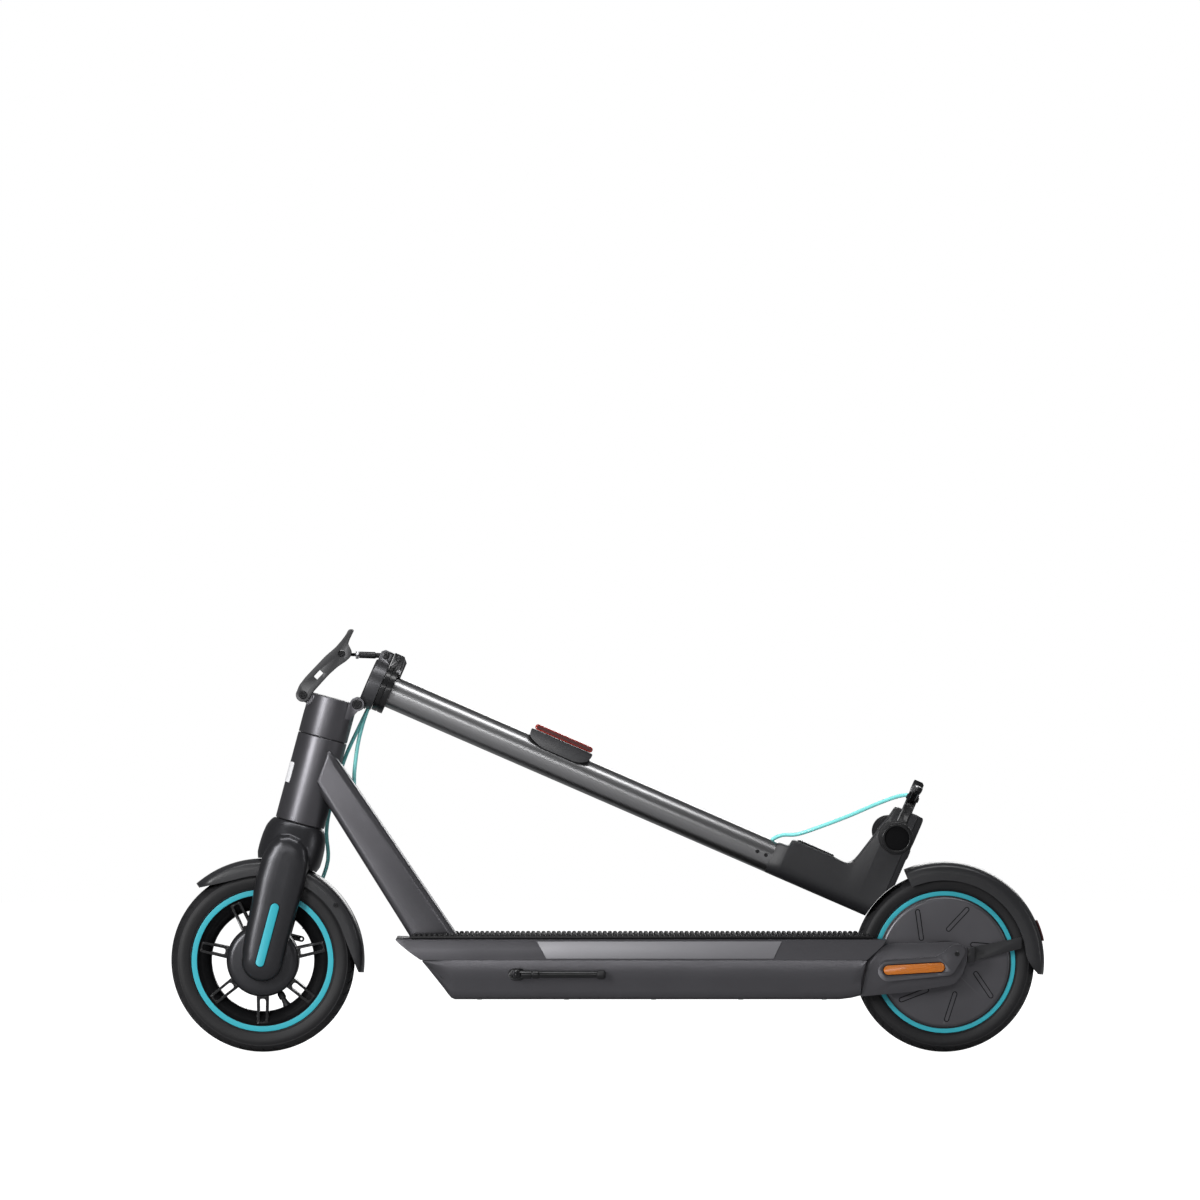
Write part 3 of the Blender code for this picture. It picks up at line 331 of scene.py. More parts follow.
def settle(item):
    """Apply every modifier."""
    bpy.context.view_layer.update()
    mesh = bpy.data.meshes.new_from_object(item.evaluated_get(bpy.context.evaluated_depsgraph_get()))
    item.modifiers.clear()
    item.data = mesh


CAST = {"edge_steps": 2, "edge_angle": 40}      # a casting's finely broken edges


def piece(name, bm, place, body, look, nodes=(), slot=None, cuts=(), joins=(), edge=0.0,
          edge_steps=3, edge_angle=32, voxel=0.0, smooths=0, late_cuts=(), rooms=(), sharp=34,
          round_first=False):
    """A finished piece: joined, cut, blended, edges rounded, painted, riding on its body."""
    made, spare = solid(name, bm, place), []

    def round_edges():
        step = made.modifiers.new("edges", "BEVEL")
        step.width, step.segments, step.harden_normals = edge, edge_steps, True
        step.limit_method, step.angle_limit = "ANGLE", radians(edge_angle)

    def operate(shapes, operation):
        for number, shape in enumerate(shapes):
            helper = solid(f"{name}_{operation}_{number}", shape, place)
            step = made.modifiers.new(operation, "BOOLEAN")
            step.operation, step.object, step.solver = operation, helper, "EXACT"
            spare.append(helper)

    if round_first:
        round_edges()
    operate(joins, "UNION")
    operate(cuts, "DIFFERENCE")
    for room in rooms:
        step = made.modifiers.new("room", "BOOLEAN")
        step.operation, step.object, step.solver = "DIFFERENCE", room, "EXACT"
    if voxel:
        step = made.modifiers.new("voxels", "REMESH")
        step.mode, step.voxel_size = "VOXEL", voxel
        step = made.modifiers.new("melt", "SMOOTH")
        step.factor, step.iterations = 0.5, smooths
    operate(late_cuts, "DIFFERENCE")
    if edge and not round_first:
        round_edges()
    if made.modifiers:
        settle(made)
    for helper in spare:
        bpy.data.objects.remove(helper, do_unlink=True)
    made.data.shade_smooth()
    made.data.set_sharp_from_angle(angle=radians(sharp))
    made.data.materials.clear()
    made.data.materials.append(look)
    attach(made, body)
    if nodes:
        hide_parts(*nodes)
    return made


def socket_screw(name, place, at, facing, radius, height, body, look):
    """A screw head with a six-sided socket, its face turned along the given direction."""
    count, lobes, depth = 36, 6, 0.55

    def ring(size, level, sided):
        points = []
        for k in range(count):
            a = tau * k / count
            within = (a % (tau / lobes)) - pi / lobes
            scale = cos(pi / lobes) / cos(within) if sided else 1
            points.append((size * scale * cos(a), size * scale * sin(a), level))
        return points

    rings = [ring(radius * 0.96, 0, False), ring(radius, height * 0.15, False),
             ring(radius, height * 0.75, False), ring(radius * 0.88, height, False),
             ring(radius * 0.58, height, True), ring(radius * 0.54, height * 0.9, True),
             ring(radius * 0.52, height * (1 - depth), True)]
    turn = Vector((0, 0, 1)).rotation_difference(Vector(facing)).to_matrix().to_4x4()
    return piece(name, loft(rings), place @ Matrix.Translation(at) @ turn, body, look)


def screw_pair(name, place, at, radius, height, body, look=BLACK_METAL):
    """The same screw on the left and the right, each facing outwards."""
    x, y, z = at
    for side, tag in SIDES:
        socket_screw(f"{name}_{tag}", place, (x, side * y, z), (0, side, 0), radius, height, body,
                     look)


def tube(name, routes, place, radius, look, steps=4, sides=14):
    """A round mesh tube along a route given in a local frame, its points put into the world."""
    route = spline([place @ Vector(p) for p in routes], steps)
    rings, up = [], Vector((0, 1, 0))
    for k, point in enumerate(route):
        heading = (route[min(k + 1, len(route) - 1)] - route[max(k - 1, 0)]).normalized()
        side = heading.cross(up).normalized()
        over = side.cross(heading)
        rings.append([point + (side * cos(tau * j / sides) + over * sin(tau * j / sides)) * radius
                      for j in range(sides)])
    made = solid(name, loft(rings), WORLD)
    made.data.shade_smooth()
    made.data.set_sharp_from_angle(angle=radians(50))
    made.data.materials.append(look)
    return made


# ---- wheels --------------------------------------------------------------------------------
def step_up(value, edge, width=0.0005):
    """1 below the edge, 0 above it, with a short ramp."""
    return min(1, max(0, 0.5 - (value - edge) / width))


def tread_depth(turn, y):
    """Depth of the grooves: three zigzag rings and slanted shoulder sipes."""
    zig = 0.0011 * (abs((turn * 90) % 2 - 1) * 2 - 1)
    depth = 0.0020 * step_up(abs(y - zig), 0.0012)
    depth = max(depth, 0.0018 * step_up(abs(abs(y) - 0.0092 - zig * 0.5), 0.0010))
    if 0.0112 < abs(y) < 0.0235:
        phase = (turn * 48 + (abs(y) - 0.0112) * 45) % 1
        depth = max(depth, 0.0014 * step_up(abs(phase - 0.5) * 0.0166, 0.0011, 0.0008))
    return depth


def build_tyre(name, place, body, outer):
    """Crowned tread, bulged side walls with bead and shoulder rings, open towards the rim."""
    height = outer - BEAD_R
    half = [(0.012, 0.0228), (0.030, 0.0245), (0.075, 0.0252), (0.095, 0.0249), (0.115, 0.0257),
            (0.24, 0.0268), (0.42, 0.0277), (0.56, 0.0273), (0.655, 0.0261), (0.68, 0.0262),
            (0.72, 0.0251), (0.86, 0.0205), (0.940, 0.0140), (0.983, 0.0070), (1.0, 0.0)]
    side = spline([(BEAD_R + f * height, y, 0) for f, y in half[:11]], 2)
    crown = spline([(BEAD_R + f * height, y, 0) for f, y in half[10:]], 7)
    wall = [(p.x, p.y) for p in side] + [(p.x, p.y) for p in crown[1:]]
    profile = wall + [(r, -y) for r, y in wall[-2::-1]]
    rings, turns = [], 600
    for k in range(turns):
        a = tau * k / turns
        ring = []
        for r, y in profile:
            r -= tread_depth(k / turns, y) if r > BEAD_R + 0.70 * height else 0
            ring.append((r * cos(a), y, r * sin(a)))
        rings.append(ring)
    piece(f"{name}_carcass", loft(rings, loop=True), place, body, RUBBER, [name], "tyre_rubber",
          sharp=40)


def band(inner, outer, low, high, radius=0.0007):
    """Profile of a flat ring with rounded corners."""
    return soften([(inner, low), (outer, low), (outer, high), (inner, high)], radius)


def rim_stripes(wheel, place, inner, near, far):
    """The painted ring on both sides of a wheel."""
    for side, tag in SIDES:
        ring = band(inner, STRIPE_R, *span(side, near, far))
        piece(f"{wheel}_rim_stripe_{tag}", turned(ring, segments=160), place, f"{wheel}_wheel",
              TEAL)


def build_front_wheel():
    build_tyre("front_tyre", WHEEL_F, "front_wheel", FRONT_R)
    body, edge = "front_wheel", BEAD_R - 0.0004
    inner = [(0.0895, -0.0236), (0.0885, -0.0215), (0.0835, -0.0180), (0.0750, -0.0130),
             (0.0712, -0.0070), (0.0705, 0.0)]
    inner += [(r, -y) for r, y in inner[-2::-1]]
    barrel = [(edge, 0.0232), (edge - 0.001, 0.0240), (0.0900, 0.0240)] + inner[::-1] + [
        (0.0900, -0.0240), (edge - 0.001, -0.0240), (edge, -0.0232)]
    piece("front_rim_barrel", turned(barrel, segments=144), WHEEL_F, body, BLACK_METAL,
          ["front_rim"], "rim_paint")
    rim_stripes("front", WHEEL_F, 0.0905, 0.0242, 0.0254)

    spokes, count = [], 7
    for k in range(count):
        outer = soften([(0.046, -0.0083), (0.0885, -0.0076), (0.0885, 0.0076), (0.046, 0.0083)],
                       0.002)
        slot = soften([(0.0530, -0.0045), (0.0850, -0.0040), (0.0850, 0.0040), (0.0530, 0.0045)],
                      0.0038)
        ring = [[(x, y, z) for x, z in (outer if fresh else slot)]
                for y, fresh in ((-0.0205, True), (0.0125, True), (0.0125, False),
                                 (-0.0205, False))]
        spokes.append(swung(loft(ring, loop=True), pi / 2 - tau * k / count))
    piece("front_spoke_frames", joined(*spokes), WHEEL_F, body, BLACK_METAL, ["front_spokes"],
          "rim_paint", edge=0.0006, edge_steps=2)

    hub = soften([(0.0056, -0.0284), (0.0180, -0.0284), (0.0200, -0.0276), (0.0440, -0.0264, 0.004),
                  (0.0500, -0.0215, 0.004), (0.0500, 0.0260), (0.0480, 0.0284), (0.0425, 0.0284),
                  (0.0425, 0.0200), (0.0056, 0.0200)], 0.001)
    grooves = [turned([(0.0490, y), (0.0520, y), (0.0520, y + 0.0014), (0.0490, y + 0.0014)])
               for y in (0.0100, 0.0140, 0.0180)]
    piece("front_hub_shell", turned(hub), WHEEL_F, body, PAINT_DARK, cuts=grooves)
    piece("front_hub_seal", turned(band(0.0062, 0.0135, -0.0310, -0.0285)), WHEEL_F, body, RUBBER)
    stem = turned(soften([(0, 0.0), (0.0060, 0.0), (0.0042, 0.005), (0.0036, 0.010),
                          (0.0036, 0.011), (0.0050, 0.0115), (0.0050, 0.019), (0.0030, 0.0225),
                          (0.0030, 0.026), (0, 0.026)], 0.0006), "X", 24)
    stem = moved(swung(stem, pi), (0.0712, 0, 0))
    piece("front_valve", swung(stem, radians(62)), WHEEL_F @ Matrix.Translation((0, -0.004, 0)),
          body, RUBBER)


def build_rear_wheel():
    build_tyre("rear_tyre", WHEEL_R, "rear_wheel", REAR_R)
    body, half, edge = "rear_wheel", 0.030, BEAD_R - 0.0004
    hub = soften([(edge, -0.0235), (edge, 0.0235), (0.0910, 0.0240), (0.0890, half),
                  (0.0700, half + 0.0006), (0.0400, half - 0.0012), (0.0280, half - 0.0012),
                  (0.0260, half + 0.0012), (0.0088, half + 0.0012), (0.0088, half - 0.006),
                  (0.0700, half - 0.006), (0.0800, -half + 0.010), (0.0800, -half + 0.0040),
                  (0.0910, -half + 0.0040)], 0.0012)
    piece("motor_hub_shell", turned(hub, segments=144), WHEEL_R, body, PAINT_DARK, ["motor_hub"],
          "rim_paint")
    for k in range(6):
        a = tau * (k + 0.5) / 6
        socket_screw(f"hub_screw_{k}", WHEEL_R, (0.0800 * cos(a), half + 0.0002, 0.0800 * sin(a)),
                     (0, 1, 0), 0.0035, 0.0022, body, STEEL)
    rim_stripes("rear", WHEEL_R, 0.0918, 0.0240, 0.0262)

    face = half + 0.0013
    cover = soften([(0.0088, -half + 0.0036), (0.0895, -half + 0.0036), (0.0895, -face + 0.0016),
                    (0.0870, -face, 0.002), (0.0300, -face), (0.0270, -face + 0.0005),
                    (0.0088, -face + 0.0005)], 0.0005)
    rims, groove_shades = [], []
    for first in (134, 83, 32, -20, -72, -123, -175):
        inner, outer = radians(first), radians(first - 16)
        points = (0.0460 * cos(inner), 0.0460 * sin(inner), 0.0790 * cos(outer),
                  0.0790 * sin(outer))
        big, small = stadium(*points, 0.0036), stadium(*points, 0.0023)
        for shapes, outside, inside in ((rims, -0.001, 0.0009), (groove_shades, 0.0002, 0.0008)):
            levels = ((big, outside), (big, inside), (small, inside), (small, outside))
            shapes.append(loft([[(x, y - face, z) for x, z in line] for line, y in levels],
                               loop=True))
    piece("motor_cover_disc", turned(cover, segments=144), WHEEL_R, body, PAINT,
          ["motor_cover"], "frame_paint", cuts=[joined(*rims)])
    # Near-black fills sunk into the groove floors: painted shade in the recesses.
    piece("motor_cover_grooves", joined(*groove_shades), WHEEL_R, body, SHADE_BLACK)


# ---- fork, front fender and drum brake -----------------------------------------------------
def superellipse(centre, half_x, half_y, height, count=56, power=2.4):
    ring = []
    for k in range(count):
        a = tau * (k + 0.5) / count
        c, s = cos(a), sin(a)
        ring.append((centre + half_x * abs(c) ** (2 / power) * (1 if c > 0 else -1),
                     half_y * abs(s) ** (2 / power) * (1 if s > 0 else -1), height))
    return ring


def build_fork():
    """Crown and two blades, each blade's arched top melting into the crown."""
    crown = [  # height, front edge, rear edge, half width
        (0.1240, -0.0380, 0.0330, 0.0460), (0.1330, -0.0430, 0.0385, 0.0485),
        (0.1440, -0.0464, 0.0431, 0.0500), (0.1560, -0.0466, 0.0436, 0.0492),
        (0.1690, -0.0460, 0.0430, 0.0465), (0.1820, -0.0440, 0.0406, 0.0420),
        (0.1900, -0.0405, 0.0374, 0.0385), (HEAD_LOW - GAP, -0.0366, 0.0342, 0.0352),
    ]
    body = loft([superellipse((front + rear) / 2, (rear - front) / 2, half, height, power=2.15)
                 for height, front, rear, half in crown])
    end_r = 0.0287
    outline = (arc(0, 0, end_r, 180, 360, 24)
               + [(0.0280, 0.0225), (0.0284, 0.0570), (0.0290, 0.0900), (0.0292, 0.1250),
                  (0.0270, 0.1480), (0.0200, 0.1660), (0.0080, 0.1762), (-0.0080, 0.1790),
                  (-0.0220, 0.1740), (-0.0320, 0.1600), (-0.0372, 0.1400), (-0.0381, 0.1080),
                  (-0.0353, 0.0730), (-0.0334, 0.0370), (-0.0308, 0.0100)])
    blades = []
    for side in (-1, 1):
        rings = []
        for shrink, y in ((1.0, 0.0345), (1.0, 0.0390), (0.975, 0.0428), (0.92, 0.0462),
                          (0.84, 0.0490), (0.73, 0.0512), (0.58, 0.0530), (0.40, 0.0541),
                          (0.20, 0.0546)):
            ring = []
            for x, z in outline:
                core = Vector((-0.004 + (x + 0.004) * 0.05, min(max(z, 0.004), 0.150)))
                ring.append(core + (Vector((x, z)) - core) * shrink)
            rings.append([(p.x, side * y, p.y) for p in ring])
        blades.append(loft(rings))
    slot = [(0.1370, -0.06)] + arc(0, 0, 0.1419, 15, 165, 40) + [(-0.1370, -0.06)]
    piece("fork_casting", body, STEERING, "steering", PAINT_DARK, ["fork"], "frame_paint",
          joins=blades, voxel=0.0013, smooths=16,
          late_cuts=[slab(slot, -0.0355, 0.0355), rod(0.0156, 0.158, 0.21, "Z")])
    for side, tag in SIDES:
        # Each strip sits on a slightly larger near-black ring: painted shadow round the strip.
        for name, radius, outside, look, edge in (("fork_strip", 0.0060, 0.0558, TEAL, 0.0009),
                                                  ("fork_strip_seat", 0.0068, 0.0550, SHADE_BLACK, 0.0004)):
            strip = stadium(-0.0020, -0.0020, -0.0020, 0.0760, radius, 16)
            piece(f"{name}_{tag}", slab(strip, *span(side, 0.0530, outside)), STEERING,
                  "steering", look, edge=edge)
    piece("front_axle_rod", rod(0.0050, -0.0462, 0.0462), STEERING, "steering", STEEL,
          ["front_axle"], "steel")
    for side, tag in SIDES:
        spacer = band(0.0056, 0.0105, *span(side, 0.0335, 0.0358))
        piece(f"axle_spacer_{tag}", turned(spacer), STEERING, "steering", STEEL)


def build_fender(name, place, body, look, outer, half, skirt, first, last, tips, nodes):
    """A domed arch with side walls that shorten to a point at each end; tips are in degrees."""
    wall, nose_span, steps, rings = 0.0022, 9, 150, []
    for k in range(steps + 1):
        degree = first + (last - first) * k / steps
        depth = outer - 0.0055 - skirt
        nose = 1.0
        for span, distance in ((tips[0], degree - first), (tips[1], last - degree)):
            if span and distance < span:
                depth *= sin(pi / 2 * distance / span) ** 0.8
            if span and distance < nose_span:
                nose = 0.55 + 0.45 * (1 - (1 - distance / nose_span) ** 2) ** 0.5
        low, side = outer - 0.0065 - depth, half * nose
        section = [(low, side), (low + depth * 0.5, side + 0.0002), (outer - 0.0075, side - 0.0006),
                   (outer - 0.0050, side - 0.0024), (outer - 0.0028, side - 0.0062),
                   (outer - 0.0010, side - 0.0120), (outer, side * 0.30), (outer, 0.0)]
        outside = section + [(r, -y) for r, y in section[-2::-1]]
        inside = [(min(r, outer - wall), y * (1 - wall / half)) for r, y in outside][::-1]
        angle = radians(degree)
        rings.append([(r * cos(angle), y, r * sin(angle)) for r, y in outside + inside])
    piece(name, loft(rings), place, body, look, nodes, "black_plastic", sharp=60)


def build_front_end():
    build_fork()
    build_fender("front_fender_shell", STEERING, "steering", FENDER, 0.1404, 0.0335, 0.1190,
                 8, 146, (26, 26), ["front_fender"])
    screw_pair("fender_screw", STEERING, (0.078, 0.0338, 0.1005), 0.0034, 0.0016, "steering")
    plate = soften([(0.0056, 0.0289), (0.0460, 0.0289), (0.0460, 0.0306), (0.0400, 0.0322),
                    (0.0290, 0.0322), (0.0270, 0.0330), (0.0100, 0.0330), (0.0100, 0.0334),
                    (0.0056, 0.0334)], 0.0006)
    holes = [swung(moved(rod(0.0028, 0.03, 0.04, segments=24), (0.034, 0, 0)), tau * k / 8)
             for k in range(8)]
    piece("drum_brake_plate", turned(plate), STEERING, "steering", COLLAR, ["brake_plate"],
          "collar_metal", cuts=[joined(*holes)])
    arm_at = Matrix.Translation((0.0120, 0, 0.0400))
    lever = stadium(0, 0, 0.0310, 0.0005, 0.0042, 12)
    lever = slab(lever, 0.0335, 0.0356)
    piece("drum_arm_lever", lever, STEERING @ arm_at, "drum_arm", BLACK_METAL, ["drum_arm"], "steel",
          cuts=[moved(rod(0.0016, 0.03, 0.04, segments=20), (0.0310, 0, 0.0005))], edge=0.0004)


def build_head():
    """Head tube, fold base with hinge lugs and latch ear, headset rings, down tube."""
    head = soften([(0.0245, HEAD_LOW + 0.0004), (HEAD_R - 0.0006, HEAD_LOW + 0.0004),
                   (HEAD_R, HEAD_LOW + 0.0016), (HEAD_R, HEAD_HIGH - 0.0008),
                   (HEAD_R - 0.0009, HEAD_HIGH), (0.0245, HEAD_HIGH)], 0.0005)
    piece("head_tube_shell", turned(head, "Z", 128), STEERING, "frame", PAINT, ["head_tube"],
          "frame_paint")
    for name, low in (("lower", HEAD_LOW + 0.0001), ("upper", HEAD_HIGH - 0.0098)):
        ring = band(0.0156, 0.0236, low, low + 0.0095)
        piece(f"bearing_{name}", turned(ring, "Z"), STEERING, "frame", STEEL,
              [f"headset_bearing_{name}"], "steel")
    piece("steerer_tube", turned(band(0.0120, 0.0149, 0.159, 0.3700), "Z"), STEERING, "steering",
          STEEL, ["fork"], "steel")
    low, high, rows = 0.2470, 0.2756, 10
    for side, tag in SIDES:
        sheet = []
        for k in range(rows + 1):
            inset = 0 if 0 < k < rows else 1.5
            start, end = 8 + inset, 36 - inset
            bend = [radians(180 - side * (start + (end - start) * j / 8)) for j in range(9)]
            ring = [(HEAD_R + 0.0007, a) for a in bend] + [(HEAD_R - 0.0002, a)
                                                           for a in bend[::-1]]
            sheet.append([(r * cos(a), r * sin(a), low + (high - low) * k / rows)
                          for r, a in ring])
        piece(f"front_reflector_{tag}", loft(sheet), STEERING, "frame", WHITE)

    base = soften([(0.0156, HEAD_HIGH + 0.0006), (HEAD_R - 0.0008, HEAD_HIGH + 0.0006),
                   (HEAD_R, HEAD_HIGH + 0.0016), (HEAD_R, BASE_TOP - 0.0012, 0.0015),
                   (HEAD_R - 0.0015, BASE_TOP), (0, BASE_TOP), (0, 0.3706), (0.0156, 0.3706)],
                  0.0003)
    lug = arc(HINGE_U, HINGE_S, 0.0098, -72, 182, 30)
    lug = [(0.010, 0.3738), (0.010, 0.352), (0.030, 0.352)] + lug
    ear = [(-0.018, LATCH_S - 0.013)] + [(-0.018, BASE_TOP - 0.0004), (LATCH_U + 0.004,
                                                                     BASE_TOP - 0.0004)]
    ear += arc(LATCH_U, LATCH_S, 0.0082, 90, 270, 20)
    knuckle = slab(arc(HINGE_U, HINGE_S, 0.0104, 0, 345, 46), -0.0118, 0.0118)
    pockets = [slab(arc(LATCH_U, LATCH_S, 0.0158, 0, 345, 46), *faces)
               for faces in ((0.0100, 0.04), (-0.04, -0.0100))]
    pockets.append(slab([(-0.060, 0.350), (-0.0335, 0.350), (-0.0335, 0.380), (-0.060, 0.380)],
                        -0.005, 0.005))
    piece("fold_base_casting", turned(base, "Z", 128), STEERING, "steering", PAINT,
          ["fold_base"], "frame_paint",
          joins=[slab(lug, -0.0258, 0.0258), slab(ear, -0.0099, 0.0099)],
          cuts=[knuckle, *pockets,
                drill(HINGE_BORE, 0.05, HINGE_U, HINGE_S),
                drill(LATCH_BORE, 0.03, LATCH_U, LATCH_S)],
          edge=0.0005, **CAST)
    for name, place_at, radius, shank, reach in (
            ("hinge_pin", (HINGE_U, 0, HINGE_S), 0.0068, 0.0040, 0.0263),
            ("latch_pin", (LATCH_U, 0, LATCH_S), 0.0055, 0.0030, 0.0143)):
        at = STEERING @ Matrix.Translation(place_at)
        piece(f"{name}_shank", rod(shank, -reach, reach), at, "steering", BLACK_METAL, [name],
              "black_metal")
        screw_pair(f"{name}_head", at, (0, reach, 0), radius, 0.0028, "steering")

    foot = DECK_TOP + GAP
    outline = [(aft(0.0700), 0.3740), (aft(0.0877), 0.3454), (aft(0.2050), foot),
               (aft(0.2715), foot), (aft(0.1066), 0.4008), (aft(0.0900), 0.4250)]
    bore = solid("bore", rod(HEAD_R + GAP, 0.12, 0.42, "Z", 96), STEERING)
    piece("down_tube_shell", slab(outline, -0.035, 0.035), WORLD, "frame", PAINT,
          ["down_tube"], "frame_paint", rooms=[bore], edge=0.0095, edge_steps=7,
          edge_angle=60, round_first=True)
    bpy.data.objects.remove(bore, do_unlink=True)


# ---- latch ---------------------------------------------------------------------------------
def build_latch():
    along = Vector((cos(LATCH_REST), sin(LATCH_REST)))
    across = Vector((-along.y, along.x))

    def placed(points):
        return [tuple(along * x + across * y) for x, y in points]

    outline = arc(0, 0, 0.0098, 100, 285, 18) + [
        (0.0134, -0.0075), (0.0300, -0.0070), (0.0450, -0.0068), (0.0600, -0.0080),
        (0.0740, -0.0112), (0.0830, -0.0118), (0.0895, -0.0085), (0.0920, -0.0020),
        (0.0935, 0.0030), (0.1000, 0.0060), (0.1142, 0.0103), (0.1100, 0.0162),
        (0.1000, 0.0136), (0.0900, 0.0126), (0.0790, 0.0122), (0.0600, 0.0142),
        (0.0200, 0.0143), (0.0060, 0.0128)]
    place = STEERING @ Matrix.Translation((LATCH_U, 0, LATCH_S))
    channel = placed([(-0.02, -0.03), (0.1045, -0.03), (0.1045, 0.03), (-0.02, 0.03)])
    window = placed(soften([(0.0285, 0.0002), (0.0412, 0.0002), (0.0412, 0.0068),
                            (0.0285, 0.0068)], 0.0010))
    pin = along * LATCH_ARM
    piece("latch_lever_plates", slab(placed(soften(outline, 0.003, 3)), -0.014, 0.014), place,
          "latch_lever", LEVER, ["latch_lever"], "black_metal",
          cuts=[slab(channel, -0.0105, 0.0105), slab(window, -0.03, 0.03),
                drill(LATCH_BORE, 0.03), drill(0.0050, 0.03, pin.x, pin.y)],
          edge=0.0006, **CAST)

    place = STEM @ Matrix.Translation((LINK_T, 0, LINK_N)) @ Matrix.Rotation(LINK_REST, 4, "Y")
    barrel = [(0, 0.0035), (0.0034, 0.0035), (0.0036, 0.0140), (0.0046, 0.0150), (0.0046, 0.0370),
              (0.0041, 0.0375)]
    thread = []
    for k in range(26):
        x = 0.0376 + k * 0.0008
        thread += [(0.0021, x), (0.0026, x + 0.0004)]
    profile = barrel + thread + [(0.0022, 0.0592), (0.0022, LINK_LENGTH), (0, LINK_LENGTH)]
    eye = turned(soften([(0, -0.0046), (0.0062, -0.0046), (0.0062, 0.0046), (0, 0.0046)], 0.0006))
    piece("latch_link_rod", turned(profile, "X", 40), place, "latch_link", BLACK_METAL,
          ["latch_link"], "black_metal",
          joins=[eye, drill(0.0052, 0.0042, LINK_LENGTH)])
    nut = [(0.0066 * cos(tau * k / 6), 0.0066 * sin(tau * k / 6)) for k in range(6)]
    rings = [[(x, p * scale, q * scale) for p, q in nut]
             for x, scale in ((0.0380, 0.93), (0.0386, 1), (0.0414, 1), (0.0420, 0.93))]
    piece("link_lock_nut", loft(rings), place, "latch_link", STEEL)


# ---- stem ----------------------------------------------------------------------------------
def build_stem():
    floor = HEAD_R + 0.0004
    knuckle = slab([(0.012, 0.012)] + arc(0, 0, 0.0097, 90, 350, 30) + [(0.012, -0.002)],
                   -0.0113, 0.0113)
    top = LINK_N + 0.0072
    ear = slab([(0.0018, 0.026), (0.0196, 0.026), (0.0196, top), (0.0060, top),
                (0.0018, top - 0.004)], -0.0099, 0.0099)
    notch = arc(0, -STEM_RISE, 0.0104, 0, 345, 46)
    collar = soften([(0, 0), (HEAD_R - 0.002, 0), (HEAD_R, 0.002), (HEAD_R, 0.0196), (0, 0.0196)],
                    0.0006)
    piece("stem_collar_casting", turned(collar, "X", 128), STEM, "stem", COLLAR, ["stem_base"],
          "collar_metal",
          joins=[moved(knuckle, (0, 0, -STEM_RISE)), ear],
          cuts=[slab(notch, -0.04, -0.0118), slab(notch, 0.0118, 0.04),
                block((-0.01, -0.005, floor), (0.03, 0.005, 0.09)),
                drill(LATCH_BORE, 0.03, LINK_T, LINK_N),
                drill(HINGE_BORE, 0.05, 0, -STEM_RISE),
                rod(STEM_R + GAP, 0.006, 0.03, "X", 96)],
          edge=0.0006, **CAST)
    clamp = soften([(STEM_R + GAP, 0.0203), (0.0330, 0.0203), (0.0330, 0.0270), (0.0322, 0.0272),
                    (0.0322, 0.0288), (0.0330, 0.0290), (0.0330, 0.0358),
                    (STEM_R + GAP, 0.0358)], 0.0005)
    lug = [(0.0203, 0.0225), (0.0203, 0.0518), (0.0335, 0.0518), (0.0400, 0.0447), (0.0400, 0.0225)]
    piece("stem_clamp_ring", turned(clamp, "X", 128), STEM, "stem", BLACK_METAL, ["stem_clamp"],
          "black_metal", joins=[slab(lug, -0.0099, 0.0099)],
          cuts=[block((0.01, -0.005, 0.033), (0.05, 0.005, 0.09)),
                block((0.01, -0.0012, 0.010), (0.05, 0.0012, 0.09)),
                rod(STEM_R + GAP, 0.01, 0.05, "X", 96)],
          edge=0.0005, **CAST)
    # clamp_bolt_0 and the pin's heads are flat: the unfolded latch lever's plates pass them
    screw_pair("clamp_bolt_0", STEM, (0.0275, 0.0090, 0.0450), 0.0040, 0.0013, "stem")
    screw_pair("clamp_bolt_1", STEM, (0.0352, 0.0142, 0.0290), 0.0034, 0.0034, "stem", STEEL)
    screw_pair("link_pin_head", STEM, (LINK_T, 0.0090, LINK_N), 0.0050, 0.0013, "stem")

    piece("stem_tube_shell", turned(band(STEM_R - 0.0025, STEM_R, 0.0065, 0.689, 0.0004), "X",
                                    128), STEM, "stem", STEM_METAL, ["stem_tube"], "stem_metal")
    for k, t in enumerate((0.588, 0.601)):
        screw_pair(f"stem_screw_{k}", STEM, (t, STEM_R - 0.0006, 0), 0.0027, 0.0014, "stem")

    saddle = [(0.2345, 0.0300, 0.002), (0.2355, 0.0215, 0.004), (0.2440, 0.0170, 0.006),
              (0.2570, 0.0126, 0.008), (0.3110, 0.0126, 0.008), (0.3235, 0.0195, 0.004),
              (0.3262, 0.0270, 0.002), (0.3262, 0.0318), (0.2352, 0.0318)]
    piece("marker_saddle", slab(soften(saddle, 0.002), -0.0206, 0.0206), STEM, "stem", PLASTIC,
          ["marker_base"], "black_plastic", cuts=[rod(STEM_R + GAP, 0.2, 0.36, "X", 96)],
          edge=0.0014, edge_angle=50)
    lens = stadium(0.2420, 0.0363, 0.3200, 0.0363, 0.0040, 10)
    piece("marker_lens_cover", slab(lens, -0.0130, 0.0130), STEM, "stem", RED, ["marker_lens"],
          "red", edge=0.0018, edge_angle=50)
    for side, tag in SIDES:
        window = slab(stadium(0.2425, 0.0366, 0.3195, 0.0366, 0.0025, 8),
                      *span(side, 0.0128, 0.0133))
        piece(f"marker_window_{tag}", window, STEM, "stem", RED_DARK)


def box_section(t, low, high, half, low_r, high_r, steps=6):
    """Ring across the stem: a box with its lower and upper corners rounded differently."""
    ring = []
    for cy, cn, radius, first in ((half - high_r, high - high_r, high_r, 0),
                                  (high_r - half, high - high_r, high_r, 90),
                                  (low_r - half, low + low_r, low_r, 180),
                                  (half - low_r, low + low_r, low_r, 270)):
        ring += [(t, y, n) for y, n in arc(cy, cn, radius, first, first + 90, steps)]
    return ring


